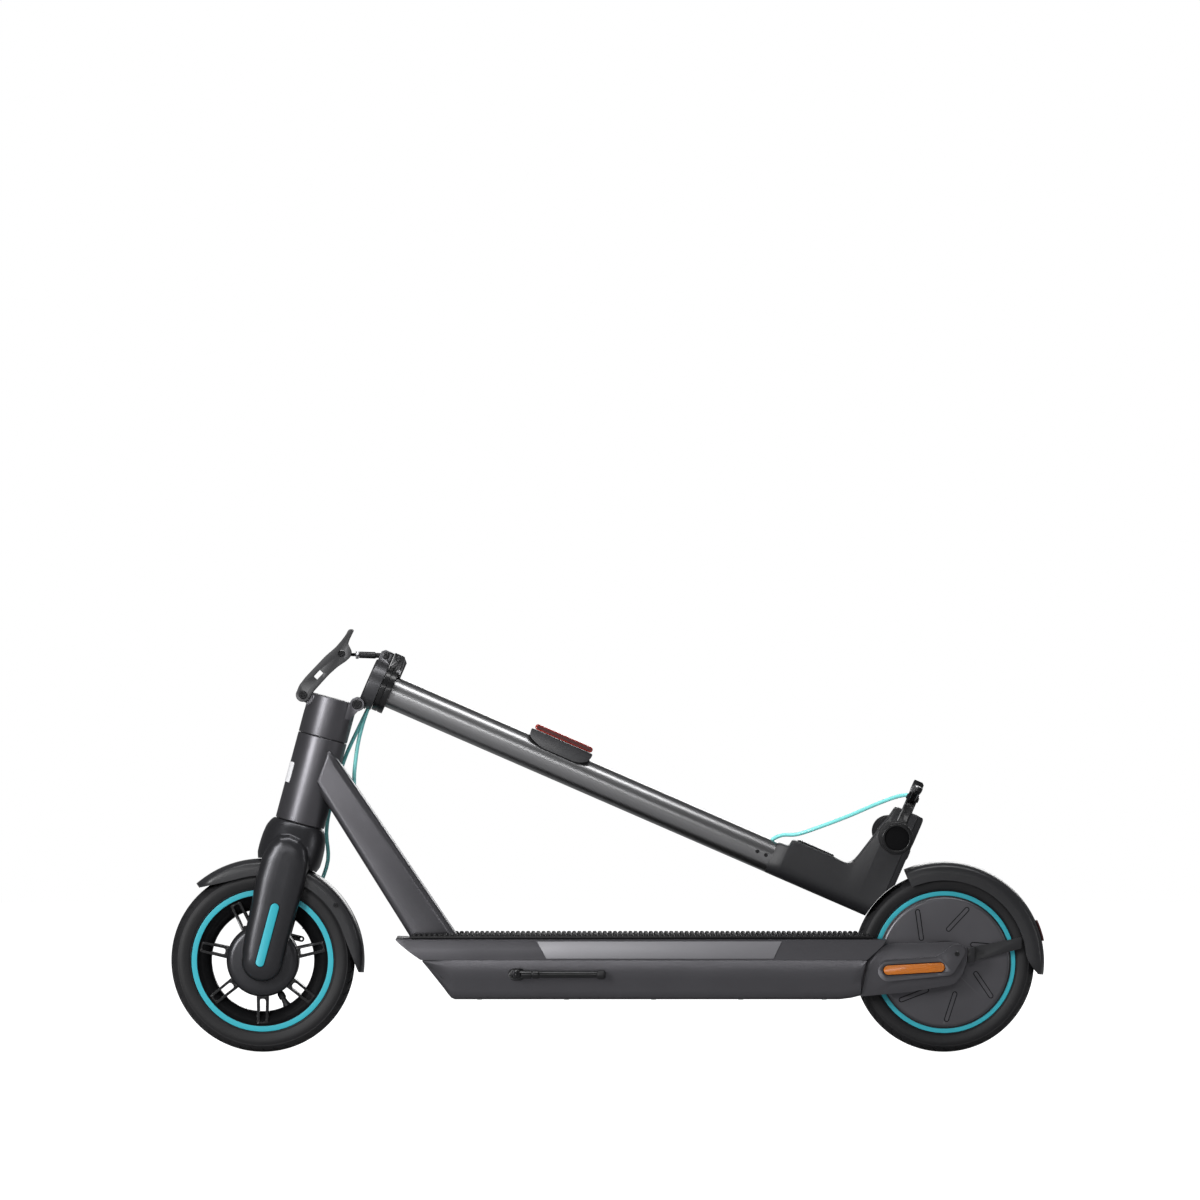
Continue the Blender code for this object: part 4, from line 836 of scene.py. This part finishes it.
def build_head_housing():
    half, low = 0.031, -0.0225
    roof = [(0.6090, 0.0205), (0.6098, 0.0222), (0.6130, 0.0231), (0.6240, 0.0240),
            (0.6262, 0.0262), (0.6270, 0.0320), (0.6290, 0.0342), (0.6320, 0.0346),
            (0.6890, 0.0352), (0.6960, 0.0344), (0.7045, 0.0342), (0.7095, 0.0352),
            (0.7135, 0.0385), (0.7165, 0.0430), (0.7190, 0.0500), (0.7307, 0.0964),
            (0.7360, 0.1165), (0.7385, 0.1290), (0.7398, 0.1322), (0.7420, 0.1334),
            (DISPLAY_T - GAP, 0.1336)]
    rings = []
    for t, high in roof:
        swell = min(1, 0.80 + (t - 0.609) * 14)
        rings.append(box_section(t, low, high, half * swell, 0.0200 * swell, 0.0035))
    room = solid("wheel_room", rod(REAR_R + 0.0015, -0.06, 0.06, "Y", 128), WHEEL_R)
    piece("head_housing_shell", loft(rings), STEM, "stem", PLASTIC, ["head_housing"],
          "black_plastic", rooms=[room],
          cuts=[rod(STEM_R + GAP, 0.60, 0.6905, "X", 96), drill(BAR_R + GAP, 0.05, BAR_T, BAR_N),
                block((0.6335, -0.0203, 0.0310), (0.6883, 0.0203, 0.05))])

    face = soften([(DISPLAY_T, -0.0190), (0.7785, -0.0160, 0.003), (0.7808, -0.0030, 0.004),
                   (0.7808, 0.1300, 0.003), (0.7790, 0.1330), (DISPLAY_T, 0.1330)], 0.0008)
    piece("display_cover", slab(face, -0.0300, 0.0300), STEM, "stem", PLASTIC, ["display"],
          "black_plastic", rooms=[room], edge=0.0007, **CAST,
          cuts=[moved(rod(0.0077, 0.7765, 0.80, "X"), (0, 0, 0.078))])
    bpy.data.objects.remove(room, do_unlink=True)
    glass = soften([(-0.0250, 0.0920), (0.0250, 0.0920), (0.0250, 0.1270), (-0.0250, 0.1270)],
                   0.006, 6)
    rings = [[(t, y, n) for y, n in glass] for t in (0.7800, 0.7813)]
    piece("display_glass", loft(rings), STEM, "stem", GLASS, edge=0.0004)
    bars = joined(*(block((0.7806, -0.0150 + 0.0062 * k, 0.1000), (0.7815, -0.0104 + 0.0062 * k,
                                                                  0.1030)) for k in range(5)))
    piece("charge_bars", bars, STEM, "stem", WHITE)
    cap = soften([(0, -0.0012), (0.0073, -0.0012), (0.0073, 0.0020), (0.0060, 0.0028),
                  (0.0040, 0.0026), (0, 0.0023)], 0.0005)
    piece("power_button_cap", turned(cap, "X", 64), STEM @ Matrix.Translation((0.780, 0, 0.078)),
          "power_button", COLLAR, ["power_button"], "collar_metal")

    lens = soften([(0.6340, 0.0313), (0.6878, 0.0313), (0.6878, 0.0365), (0.6860, 0.0378),
                   (0.6358, 0.0378), (0.6340, 0.0365)], 0.0008)
    piece("headlight_lens", slab(lens, -0.0198, 0.0198), STEM, "stem", SMOKED, ["headlight"],
          "clear", edge=0.0008)
    cells = [block((0.6385 + 0.0155 * k, -0.0150, 0.0330), (0.6510 + 0.0155 * k, 0.0150, 0.0338))
             for k in range(3)]
    piece("headlight_cells", joined(*cells), STEM, "stem", STEEL)


def build_bar():
    place = STEM @ Matrix.Translation((BAR_T, 0, BAR_N))
    piece("bar_tube", turned(band(BAR_R - 0.002, BAR_R, -0.2218, 0.2218)), place, "stem",
          BLACK_METAL, ["handlebar"], "black_metal")
    for side, tag in SIDES:
        ribs = []
        count = 22
        for k in range(count):
            y = 0.1270 + 0.0034 * k
            ribs += [(0.0168, y), (0.0177, y + 0.0008), (0.0177, y + 0.0022), (0.0168, y + 0.0030)]
        sleeve = [(BAR_R + GAP, 0.1180), (0.0222, 0.1180), (0.0228, 0.1190), (0.0228, 0.1210),
                  (0.0215, 0.1222), (0.0172, 0.1240), (0.0168, 0.1260), *ribs,
                  (0.0176, 0.2050), (0.0204, 0.2100), (0.0224, 0.2150), (0.0226, 0.2215),
                  (0.0218, 0.2240), (0.0206, 0.2246), (0.0203, 0.2240), (0.0203, 0.2226),
                  (0, 0.2226), (0, 0.2224), (BAR_R + GAP, 0.2224)]
        sleeve = [(r, side * y) for r, y in sleeve]
        piece(f"grip_sleeve_{tag}", turned(sleeve, segments=80), place, "stem", GRIP,
              [f"grip_{tag}"], "grip_rubber")
        rim = band(0.0166, 0.0202, *span(side, 0.2222, 0.2254), 0.0009)
        piece(f"bar_end_ring_{tag}", turned(rim, segments=64), place, "stem", BLACK_METAL)
        # A near-black disc sunk inside the bar end ring: painted shade in the bar end.
        shade_disc = soften([(0, side * 0.2227), (0.0165, side * 0.2227), (0.0165, side * 0.2235),
                       (0, side * 0.2240)], 0.0004)
        piece(f"bar_end_plug_{tag}", turned(shade_disc, segments=64), place, "stem", SHADE_BLACK)

    ring = band(BAR_R + GAP, 0.0164, -0.1158, -0.0942, 0.0012)
    front, back, blade_low, blade_high = -0.0056, 0.0090, -0.0030, 0.0060
    neck = block((front, -0.113, 0.0135), (back, -0.096, 0.0465))
    tower = slab([(-0.0045, 0.036), (0.0075, 0.036), (0.0090, 0.0800), (0.0060, 0.0830),
                  (-0.0050, 0.0830), (-0.0056, 0.0800)], -0.0990, -0.0882)
    cheeks = [block((near, -0.1130, 0.044), (far, -0.0985, 0.0645))
              for near, far in ((front, blade_low - GAP), (blade_high + GAP, back))]
    hood = slab([(-0.0056, 0.0670), (0.0090, 0.0670), (0.0090, 0.0800), (0.0060, 0.0830),
                 (-0.0050, 0.0830), (-0.0056, 0.0800)], -0.1070, -0.0882)
    piece("brake_perch_casting", turned(ring, segments=80), place, "stem", BLACK_METAL,
          ["brake_perch"], "black_metal", joins=[neck, tower, *cheeks, hood],
          cuts=[moved(rod(0.0027, -0.02, 0.0705, "Z", 24), (-0.001, -0.092, 0))],
          edge=0.0008, edge_steps=3, edge_angle=40)
    outline = soften([(0.0055, 0.0055), (-0.006, 0.013), (-0.040, 0.019), (-0.085, 0.0165),
                      (-0.105, 0.019, 0.003), (-0.107, 0.012, 0.003), (-0.085, 0.0075),
                      (-0.040, 0.0095), (-0.010, -0.0050), (0.0020, -0.0075), (0.0055, -0.0050)],
                     0.006, 5)
    blade = loft([[(x, y, z) for y, z in outline] for x in (blade_low, blade_high)])
    pivot = STEM @ Matrix.Translation((BAR_T, -0.1065, BAR_N + 0.058))
    piece("brake_lever_blade", blade, pivot, "brake_lever", BLACK_METAL, ["brake_lever"],
          "black_metal", edge=0.0022, edge_steps=4, edge_angle=50)
    for face, tag in ((-1, "front"), (1, "rear")):
        at = (front if face < 0 else back, 0, 0)
        socket_screw(f"lever_pivot_{tag}", pivot, at, (face, 0, 0), 0.0036, 0.0016,
                     "stem", BLACK_METAL)

    ring = band(BAR_R + GAP, 0.0178, 0.0942, 0.1138, 0.0012)
    paddle = slab(soften([(-0.006, -0.0125), (0.008, -0.0125), (0.014, -0.034, 0.003),
                          (0.010, -0.039, 0.003), (0.003, -0.036, 0.003)], 0.001), 0.0967, 0.1113)
    piece("throttle_body", turned(ring, segments=80), place, "throttle", PLASTIC,
          ["throttle_lever"], "black_plastic", joins=[paddle], edge=0.0014, edge_steps=3,
          edge_angle=45)


# ---- deck ----------------------------------------------------------------------------------
def deck_piece(name, bm, look, nodes, slot_name, edge, steps=4, cuts=()):
    """A deck part with its edges rounded first, then cut clear of the rear wheel."""
    room = solid("rear_wheel_room", rod(REAR_R + 0.006, -0.034, 0.034, "Y", 128), WHEEL_R)
    piece(name, bm, WORLD, "frame", look, nodes, slot_name, cuts=cuts, rooms=[room],
          edge=edge, edge_steps=steps, edge_angle=50, round_first=bool(edge))
    bpy.data.objects.remove(room, do_unlink=True)


def tray_section(x, low):
    """Ring across the deck: upright at the seam, drawn in and rounded towards the keel."""
    height = DECK_SPLIT - low
    corner = min(0.014, height * 0.45)
    side = [(DECK_HALF - inset, DECK_SPLIT - height * share) for inset, share in (
        (0.0012, 0), (0.0005, 0.08), (0, 0.20), (0.0001, 0.30), (0.0020, 0.48), (0.0048, 0.65))]
    bend = [(DECK_HALF - 0.0060 - corner + corner * cos(radians(a)),
             low + corner - corner * sin(radians(a))) for a in range(10, 91, 10)]
    half = side + bend
    ring = half + [(-y, z) for y, z in half[::-1]]
    return [(x, y, z) for y, z in ring]


def build_deck():
    stations = []
    nose = [(0.2216, 0.1270), (0.2300, 0.1168), (0.2400, 0.1040), (0.2500, 0.0912),
            (0.2570, 0.0818), (0.2610, 0.0772), (0.2660, DECK_LOW)]
    tail = [(0.7960, DECK_LOW), (0.8120, 0.0768), (0.8250, 0.0800), (0.8310, 0.1100),
            (0.8330, 0.1270)]
    middle = [(0.2660 + (0.7960 - 0.2660) * k / 12, DECK_LOW) for k in range(1, 12)]
    for d, low in nose + middle + tail:
        stations.append(tray_section(aft(d), low))
    port_at = (aft(0.330), 0, 0.104)
    port = moved(rod(0.0128, 0.068, 0.085), port_at)
    deck_piece("deck_tray_shell", loft(stations), PAINT, ["deck_tray"], "frame_paint", 0, cuts=[
        port, block((aft(0.276), -0.0600, DECK_LOW + 0.0045), (aft(0.786), 0.0600, 0.2))])
    upper = soften([(aft(0.1841), DECK_TOP + 0.0003, 0.001), (aft(0.1880), 0.1535, 0.004),
                    (aft(0.2040), 0.1400, 0.01), (aft(0.2190), DECK_SPLIT + GAP, 0.002),
                    (aft(0.8335), DECK_SPLIT + GAP, 0.001), (aft(0.8570), 0.1510, 0.004),
                    (aft(0.8600), DECK_TOP, 0.001), (aft(0.2000), DECK_TOP, 0.006)], 0.001)
    deck_piece("deck_rail_shell", slab(upper, -DECK_HALF, DECK_HALF), PAINT, ["deck_top"],
               "frame_paint", 0.0028, 4, cuts=[
                   block((aft(0.230), -0.074, 0.1), (aft(0.790), 0.074, 0.1535))])

    foot_room = block((aft(0.1), -0.0356, 0.1), (aft(0.273), 0.0356, 0.2))
    deck_piece("grip_mat_sheet", block((aft(0.206), -0.070, DECK_TOP + 2 * GAP),
                                       (aft(0.842), 0.070, 0.1624)), GRIP, ["grip_mat"],
               "grip_rubber", 0.0008, 2, cuts=[foot_room])
    pitch, rows, columns, count, studs = 0.0071, 19, 89, 7, bmesh.new()
    for i in range(columns):
        for j in range(rows):
            x, y = aft(0.2100) + pitch * i, (j - (rows - 1) / 2) * pitch
            if (x < aft(0.279) and abs(y) < 0.0400) or x > aft(0.838):
                continue
            reach = ((x - REAR.x) ** 2 + (0.1615 - REAR.z) ** 2) ** 0.5
            if reach < REAR_R + 0.010 and abs(y) < 0.038:
                continue
            rings = []
            for radius, z in ((0.0034, 0.1622), (0.0031, 0.1638), (0.0019, 0.1652)):
                rings.append([(x + radius * cos(tau * k / count), y + radius * sin(tau * k / count),
                               z) for k in range(count)])
            loft(rings, into=studs)
    piece("grip_mat_studs", studs, WORLD, "frame", GRIP, sharp=60)

    for side, tag in SIDES:
        trim = soften([(aft(0.3923), DECK_SPLIT + 0.0022), (aft(0.7049), DECK_SPLIT + 0.0022),
                       (aft(0.7163), DECK_TOP - 0.0024), (aft(0.3787), DECK_TOP - 0.0024)], 0.0012)
        skin = slab(trim, *span(side, DECK_HALF + 0.0001, DECK_HALF + 0.0014))
        piece(f"side_panel_skin_{tag}", skin, WORLD, "frame", PANEL,
              [f"side_panel_{tag}"], "panel_paint", edge=0.0004, edge_steps=2)

    port = soften([(0, 0.0662), (0.0124, 0.0662), (0.0124, DECK_HALF - 0.0030),
                   (0.0150, DECK_HALF - 0.0030), (0.0150, DECK_HALF + 0.0016),
                   (0.0132, DECK_HALF + 0.0032), (0.0080, DECK_HALF + 0.0032),
                   (0.0080, 0.0692), (0, 0.0692)], 0.0004)
    piece("charge_socket", turned(port), Matrix.Translation(port_at), "frame",
          PLASTIC, ["charge_port"], "black_plastic")
    pins = joined(*(moved(rod(0.0011, 0.0690, 0.0745), (0.0040 * cos(tau * k / 3), 0,
                                                       0.0040 * sin(tau * k / 3)))
                    for k in range(3)))
    piece("charge_pins", pins, Matrix.Translation(port_at), "frame", STEEL)
    for index, d in enumerate((0.300, 0.420, 0.540, 0.660, 0.775)):
        for side, tag in SIDES:
            socket_screw(f"floor_screw_{index}_{tag}", WORLD, (aft(d), side * 0.052, DECK_LOW + 0.0010),
                         (0, 0, -1), 0.0036, 0.0016, "frame", STEEL)
    for name, look, slot, edge in (("battery_pack", PLASTIC, "cell_wrap", 0.004),
                                   ("controller", COLLAR, "collar_metal", 0.002)):
        piece(f"{name}_case", block(*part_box(name)), WORLD, "frame", look, [name], slot, edge=edge)


# ---- rear end ------------------------------------------------------------------------------
def build_rear_arms():
    outline = [
        (aft(0.8572) + 0.0006, 0.1512), (aft(0.9524), 0.1540, 0.008), (aft(0.9673), 0.1485),
        (aft(0.9724), 0.1425), (aft(0.9708), 0.1265), (aft(0.9650), 0.1085),
        (aft(0.9535), 0.0955), (aft(0.9375), 0.0927), (aft(0.8917), 0.0850),
        (aft(0.8254), 0.0790, 0.001), (aft(0.8336), DECK_SPLIT, 0.001)]
    cover = arc(aft(0.8633), 0.1145, 0.0149, 90, 270, 20) + [
        (aft(0.9270), 0.1060), (aft(0.9470), 0.1080), (aft(0.9535), 0.1120),
        (aft(0.9700), 0.1400), (aft(0.9660), 0.1500), (aft(0.9560), 0.1510),
        (aft(0.9470), 0.1480), (aft(0.9330), 0.1345)]
    start, end = (aft(0.8630), 0.1155), (aft(0.9340), 0.1195)
    axle = Matrix.Translation((REAR.x, 0, REAR.z))
    for side, tag in SIDES:
        def layer(points, near, far):
            return slab(points, *span(side, near, far))

        bore = drill(0.0082, 0.1, REAR.x, REAR.z)
        piece(f"dropout_plate_{tag}", layer(soften(outline, 0.006), 0.056, 0.064), WORLD,
              "frame", PAINT, [f"rear_arm_{tag}"], "frame_paint", cuts=[bore], edge=0.0016)
        well = drill(0.0092, 0.0692, REAR.x, REAR.z)
        seat = layer(stadium(*start, *end, 0.0074, 12), 0.0700, 0.0720)
        piece(f"dropout_cover_{tag}", layer(soften(cover, 0.006, 5), 0.0643, 0.0708), WORLD,
              "frame", PAINT, [f"arm_cover_{tag}"], "frame_paint", cuts=[well, seat],
              edge=0.0015)
        # A near-black ring under and round each reflector: painted shade in the gap of its recess.
        piece(f"reflector_seat_{tag}", layer(stadium(*start, *end, 0.0072, 12), 0.0698, 0.0704),
              WORLD, "frame", SHADE_BLACK)
        piece(f"side_reflector_{tag}", layer(stadium(*start, *end, 0.0065, 12), 0.0704, 0.0730),
              WORLD, "frame", AMBER, [f"reflector_{tag}"], "amber", edge=0.0009)
        socket_screw(f"cover_screw_{tag}", WORLD, (aft(0.9575), side * 0.0707, 0.1380),
                     (0, side, 0), 0.0034, 0.0014, "frame", BLACK_METAL)
        stay = [(aft(0.9735), 0.1245), (aft(0.9735), 0.1455), (aft(1.0475), 0.1596),
                (aft(1.0475), 0.1444)]
        heel = [(aft(0.9730), 0.1248), (aft(0.9730), 0.1453), (aft(0.9820), 0.1468),
                (aft(0.9820), 0.1268)]
        piece(f"fender_brace_{tag}", layer(soften(stay, 0.002), 0.0362, 0.0400), WORLD, "frame",
              FENDER, [f"fender_stay_{tag}"], "black_plastic",
              joins=[layer(heel, 0.0363, 0.0598)], edge=0.0006, edge_steps=2)
    piece("rear_axle_rod", rod(0.0060, -0.0680, 0.0680, edge=0.001), axle, "frame", STEEL,
          ["rear_axle"], "steel")
    low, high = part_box("motor_stator")
    core = band(0.0097, 0.0808, low.y, high.y, 0.002)
    piece("stator_core", turned(core), WHEEL_R, "frame", STEEL, ["motor_stator"], "motor_core")


def build_rear_fender():
    build_fender("rear_fender_shell", WHEEL_R, "frame", FENDER, 0.1385, 0.0348, 0.1140,
                 -7.5, 113.4, (14, 0), ["rear_fender"])
    rings = []
    for k in range(13):
        a = radians(12 + k)
        section = soften([(0.1388, -0.0190), (0.1388, 0.0190), (0.1412, 0.0170, 0.001),
                          (0.1412, -0.0170, 0.001)], 0.0006, 3)
        rings.append([(r * cos(a), y, r * sin(a)) for r, y in section])
    piece("tail_lamp_lens", loft(rings), WHEEL_R, "frame", RED_DARK, ["tail_light"], "red",
          edge=0.0005, edge_steps=2)


def build_kickstand():
    joint = joint_at("kickstand_swing")
    yaw = -radians(16.5)
    place = Matrix.Translation(joint)
    plate = slab(stadium(-0.0035, 0, 0.0035, 0, 0.0085, 16), 0.0065, 0.0126)
    stud = swung(rod(0.004, -0.0055, 0.009), -yaw, "Z")
    piece("stand_bracket", plate, place, "frame", BLACK_METAL, ["kickstand_bracket"],
          "black_metal", joins=[stud], edge=0.0008)
    tip = 0.122
    leg = soften([(0, 0.002), (0.0058, 0.002), (0.0058, 0.0195), (0.0050, 0.0200),
                  (0.0050, 0.0215), (0.0058, 0.0220), (0.0058, 0.0290), (0.0047, 0.0310),
                  (0.0046, tip - 0.014), (0.0046, tip - 0.012), (0, tip - 0.012)], 0.0006)
    boss = swung(rod(0.0068, -0.0050, 0.0035, edge=0.001), -yaw, "Z")
    piece("stand_leg", turned(leg, "X", 48), place, "kickstand", BLACK_METAL, ["kickstand"],
          "black_metal", joins=[boss],
          cuts=[swung(rod(0.0043, -0.02, 0.02), -yaw, "Z")])
    foot = soften([(0, tip - 0.0125), (0.0054, tip - 0.0125), (0.0064, tip - 0.009),
                   (0.0066, tip - 0.003), (0.0045, tip), (0, tip)], 0.0015)
    piece("stand_foot", turned(foot, "X", 48), place, "kickstand", RUBBER)


# ---- cables --------------------------------------------------------------------------------
def build_cables():
    upper = [(0.6012, 0.000, 0.0185), (0.6022, 0.000, 0.0245), (0.6120, -0.0015, 0.0345),
             (0.6306, -0.006, 0.0440), (0.6580, -0.018, 0.0693), (0.6848, -0.036, 0.0963),
             (0.7109, -0.058, 0.1249), (0.7300, -0.074, 0.1440), (0.7420, -0.0840, 0.1530),
             (0.7480, -0.0868, 0.1552)]
    cable = tube("brake_cable_upper", upper, STEM, CABLE_R, CABLE)
    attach(cable, "stem")
    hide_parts("cable_brake_upper")

    lower = [(0.0516, 0.0235, 0.3857), (0.0500, 0.0235, 0.3753), (0.0480, 0.0240, 0.3640),
             (0.0431, 0.0290, 0.3391), (0.0390, 0.0350, 0.3170), (0.0360, 0.0405, 0.2950),
             (0.0340, 0.0450, 0.2550), (0.0345, 0.0470, 0.2180), (0.0385, 0.0490, 0.1900),
             (0.0500, 0.0500, 0.1550), (0.0480, 0.0440, 0.1150), (0.0445, 0.0400, 0.0750),
             (0.0430, 0.0380, 0.0540)]
    power = [(0.0168, 0.0160, -0.0009), (0.0130, 0.0160, -0.0098), (0.0078, 0.0155, -0.0250),
             (0.0025, 0.0140, -0.0450), (-0.0010, 0.0120, -0.0640), (-0.0045, 0.0100, -0.0950),
             (-0.0046, 0.0100, -0.1180)]
    hinge = Matrix.Translation(HINGE)
    for name, route, last, place, bodies, stands_for in (
            ("brake_cable_lower", lower, 4, STEERING, ("stem", "steering"), "cable_brake_lower"),
            ("wiring_loom_upper", power[:4], 3, hinge, ("stem", "steering"), "cable_power"),
            ("wiring_loom_lower", power[3:], 2, hinge, ("steering", "frame"), "cable_power")):
        cable = tube(name, route, place, CABLE_R, CABLE)
        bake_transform(cable)
        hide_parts(stands_for)


# ---- studio --------------------------------------------------------------------------------
def softbox(name, place, aim, size, power, tint=(1, 1, 1)):
    lamp = bpy.data.lights.new(name, "AREA")
    lamp.shape, lamp.size, lamp.size_y, lamp.energy, lamp.color = "RECTANGLE", *size, power, tint
    item = bpy.data.objects.new(name, lamp)
    item.location = place
    item.rotation_euler = (Vector(aim) - Vector(place)).to_track_quat("-Z", "Y").to_euler()
    bpy.context.collection.objects.link(item)


def build_studio():
    floor = solid("studio_floor", turned([(0, -0.02), (7.0, -0.02), (7.0, -0.0005),
                                          (0, -0.0005)], "Z", 96), WORLD)
    pale = finish("pale_floor", (0.38, 0.38, 0.385), 0.8, mottle=0.01, grain=60, relief=0.02)
    tree, white, seen_glow = pale.node_tree, (1, 1, 1, 1), 0.97
    seen = node(tree, "LightPath", out="Is Camera Ray")
    feed(tree, tree.nodes["Principled BSDF"], {
        "Emission Color": white,
        "Emission Strength": node(tree, "Math", {0: seen, 1: seen_glow}, operation="MULTIPLY")})
    floor.data.materials.append(pale)

    world = bpy.data.worlds.new("studio")
    bpy.context.scene.world = world
    world.use_nodes = True
    tree = world.node_tree
    feed(tree, tree.nodes["Background"], {"Color": white})
    lit = node(tree, "Background", {"Color": (0.97, 0.98, 1, 1), "Strength": 0.13})
    seen = node(tree, "LightPath", out="Is Camera Ray")
    mix = node(tree, "MixShader", {"Fac": seen, 1: lit, 2: tree.nodes["Background"].outputs[0]})
    feed(tree, tree.nodes["World Output"], {"Surface": mix})

    softbox("key", (-2.7, -3.7, 1.6), (0, 0, 0.25), (1.2, 2.0), 150)
    softbox("top", (0.0, -1.0, 3.6), (0, 0, 0.2), (3.6, 0.8), 75)
    softbox("side", (4.2, -1.2, 1.0), (0, 0, 0.2), (0.5, 1.8), 16)
    softbox("front", (-0.5, -5.0, 1.3), (0, 0, 0.2), (2.4, 0.5), 24)
    softbox("back", (0.9, 4.2, 1.6), (0, 0, 0.2), (2.2, 1.2), 45)

    view_width, centre, distance, sensor = 1.660, (-0.0105, 0.625), 14.0, 36.0
    camera = bpy.data.objects.new("camera", bpy.data.cameras.new("camera"))
    camera.data.sensor_width = sensor
    camera.data.lens = sensor * distance / view_width
    camera.data.clip_end = 100
    camera.location = (centre[0], -distance, centre[1])
    camera.rotation_euler = (pi / 2, 0, 0)
    bpy.context.collection.objects.link(camera)
    bpy.context.scene.camera = camera
    bpy.context.scene.view_settings.view_transform = "Standard"


for build in (build_studio, build_cables, build_front_wheel, build_rear_wheel, build_front_end,
              build_head, build_latch, build_stem, build_head_housing, build_bar, build_deck,
              build_rear_arms, build_rear_fender, build_kickstand):
    build()
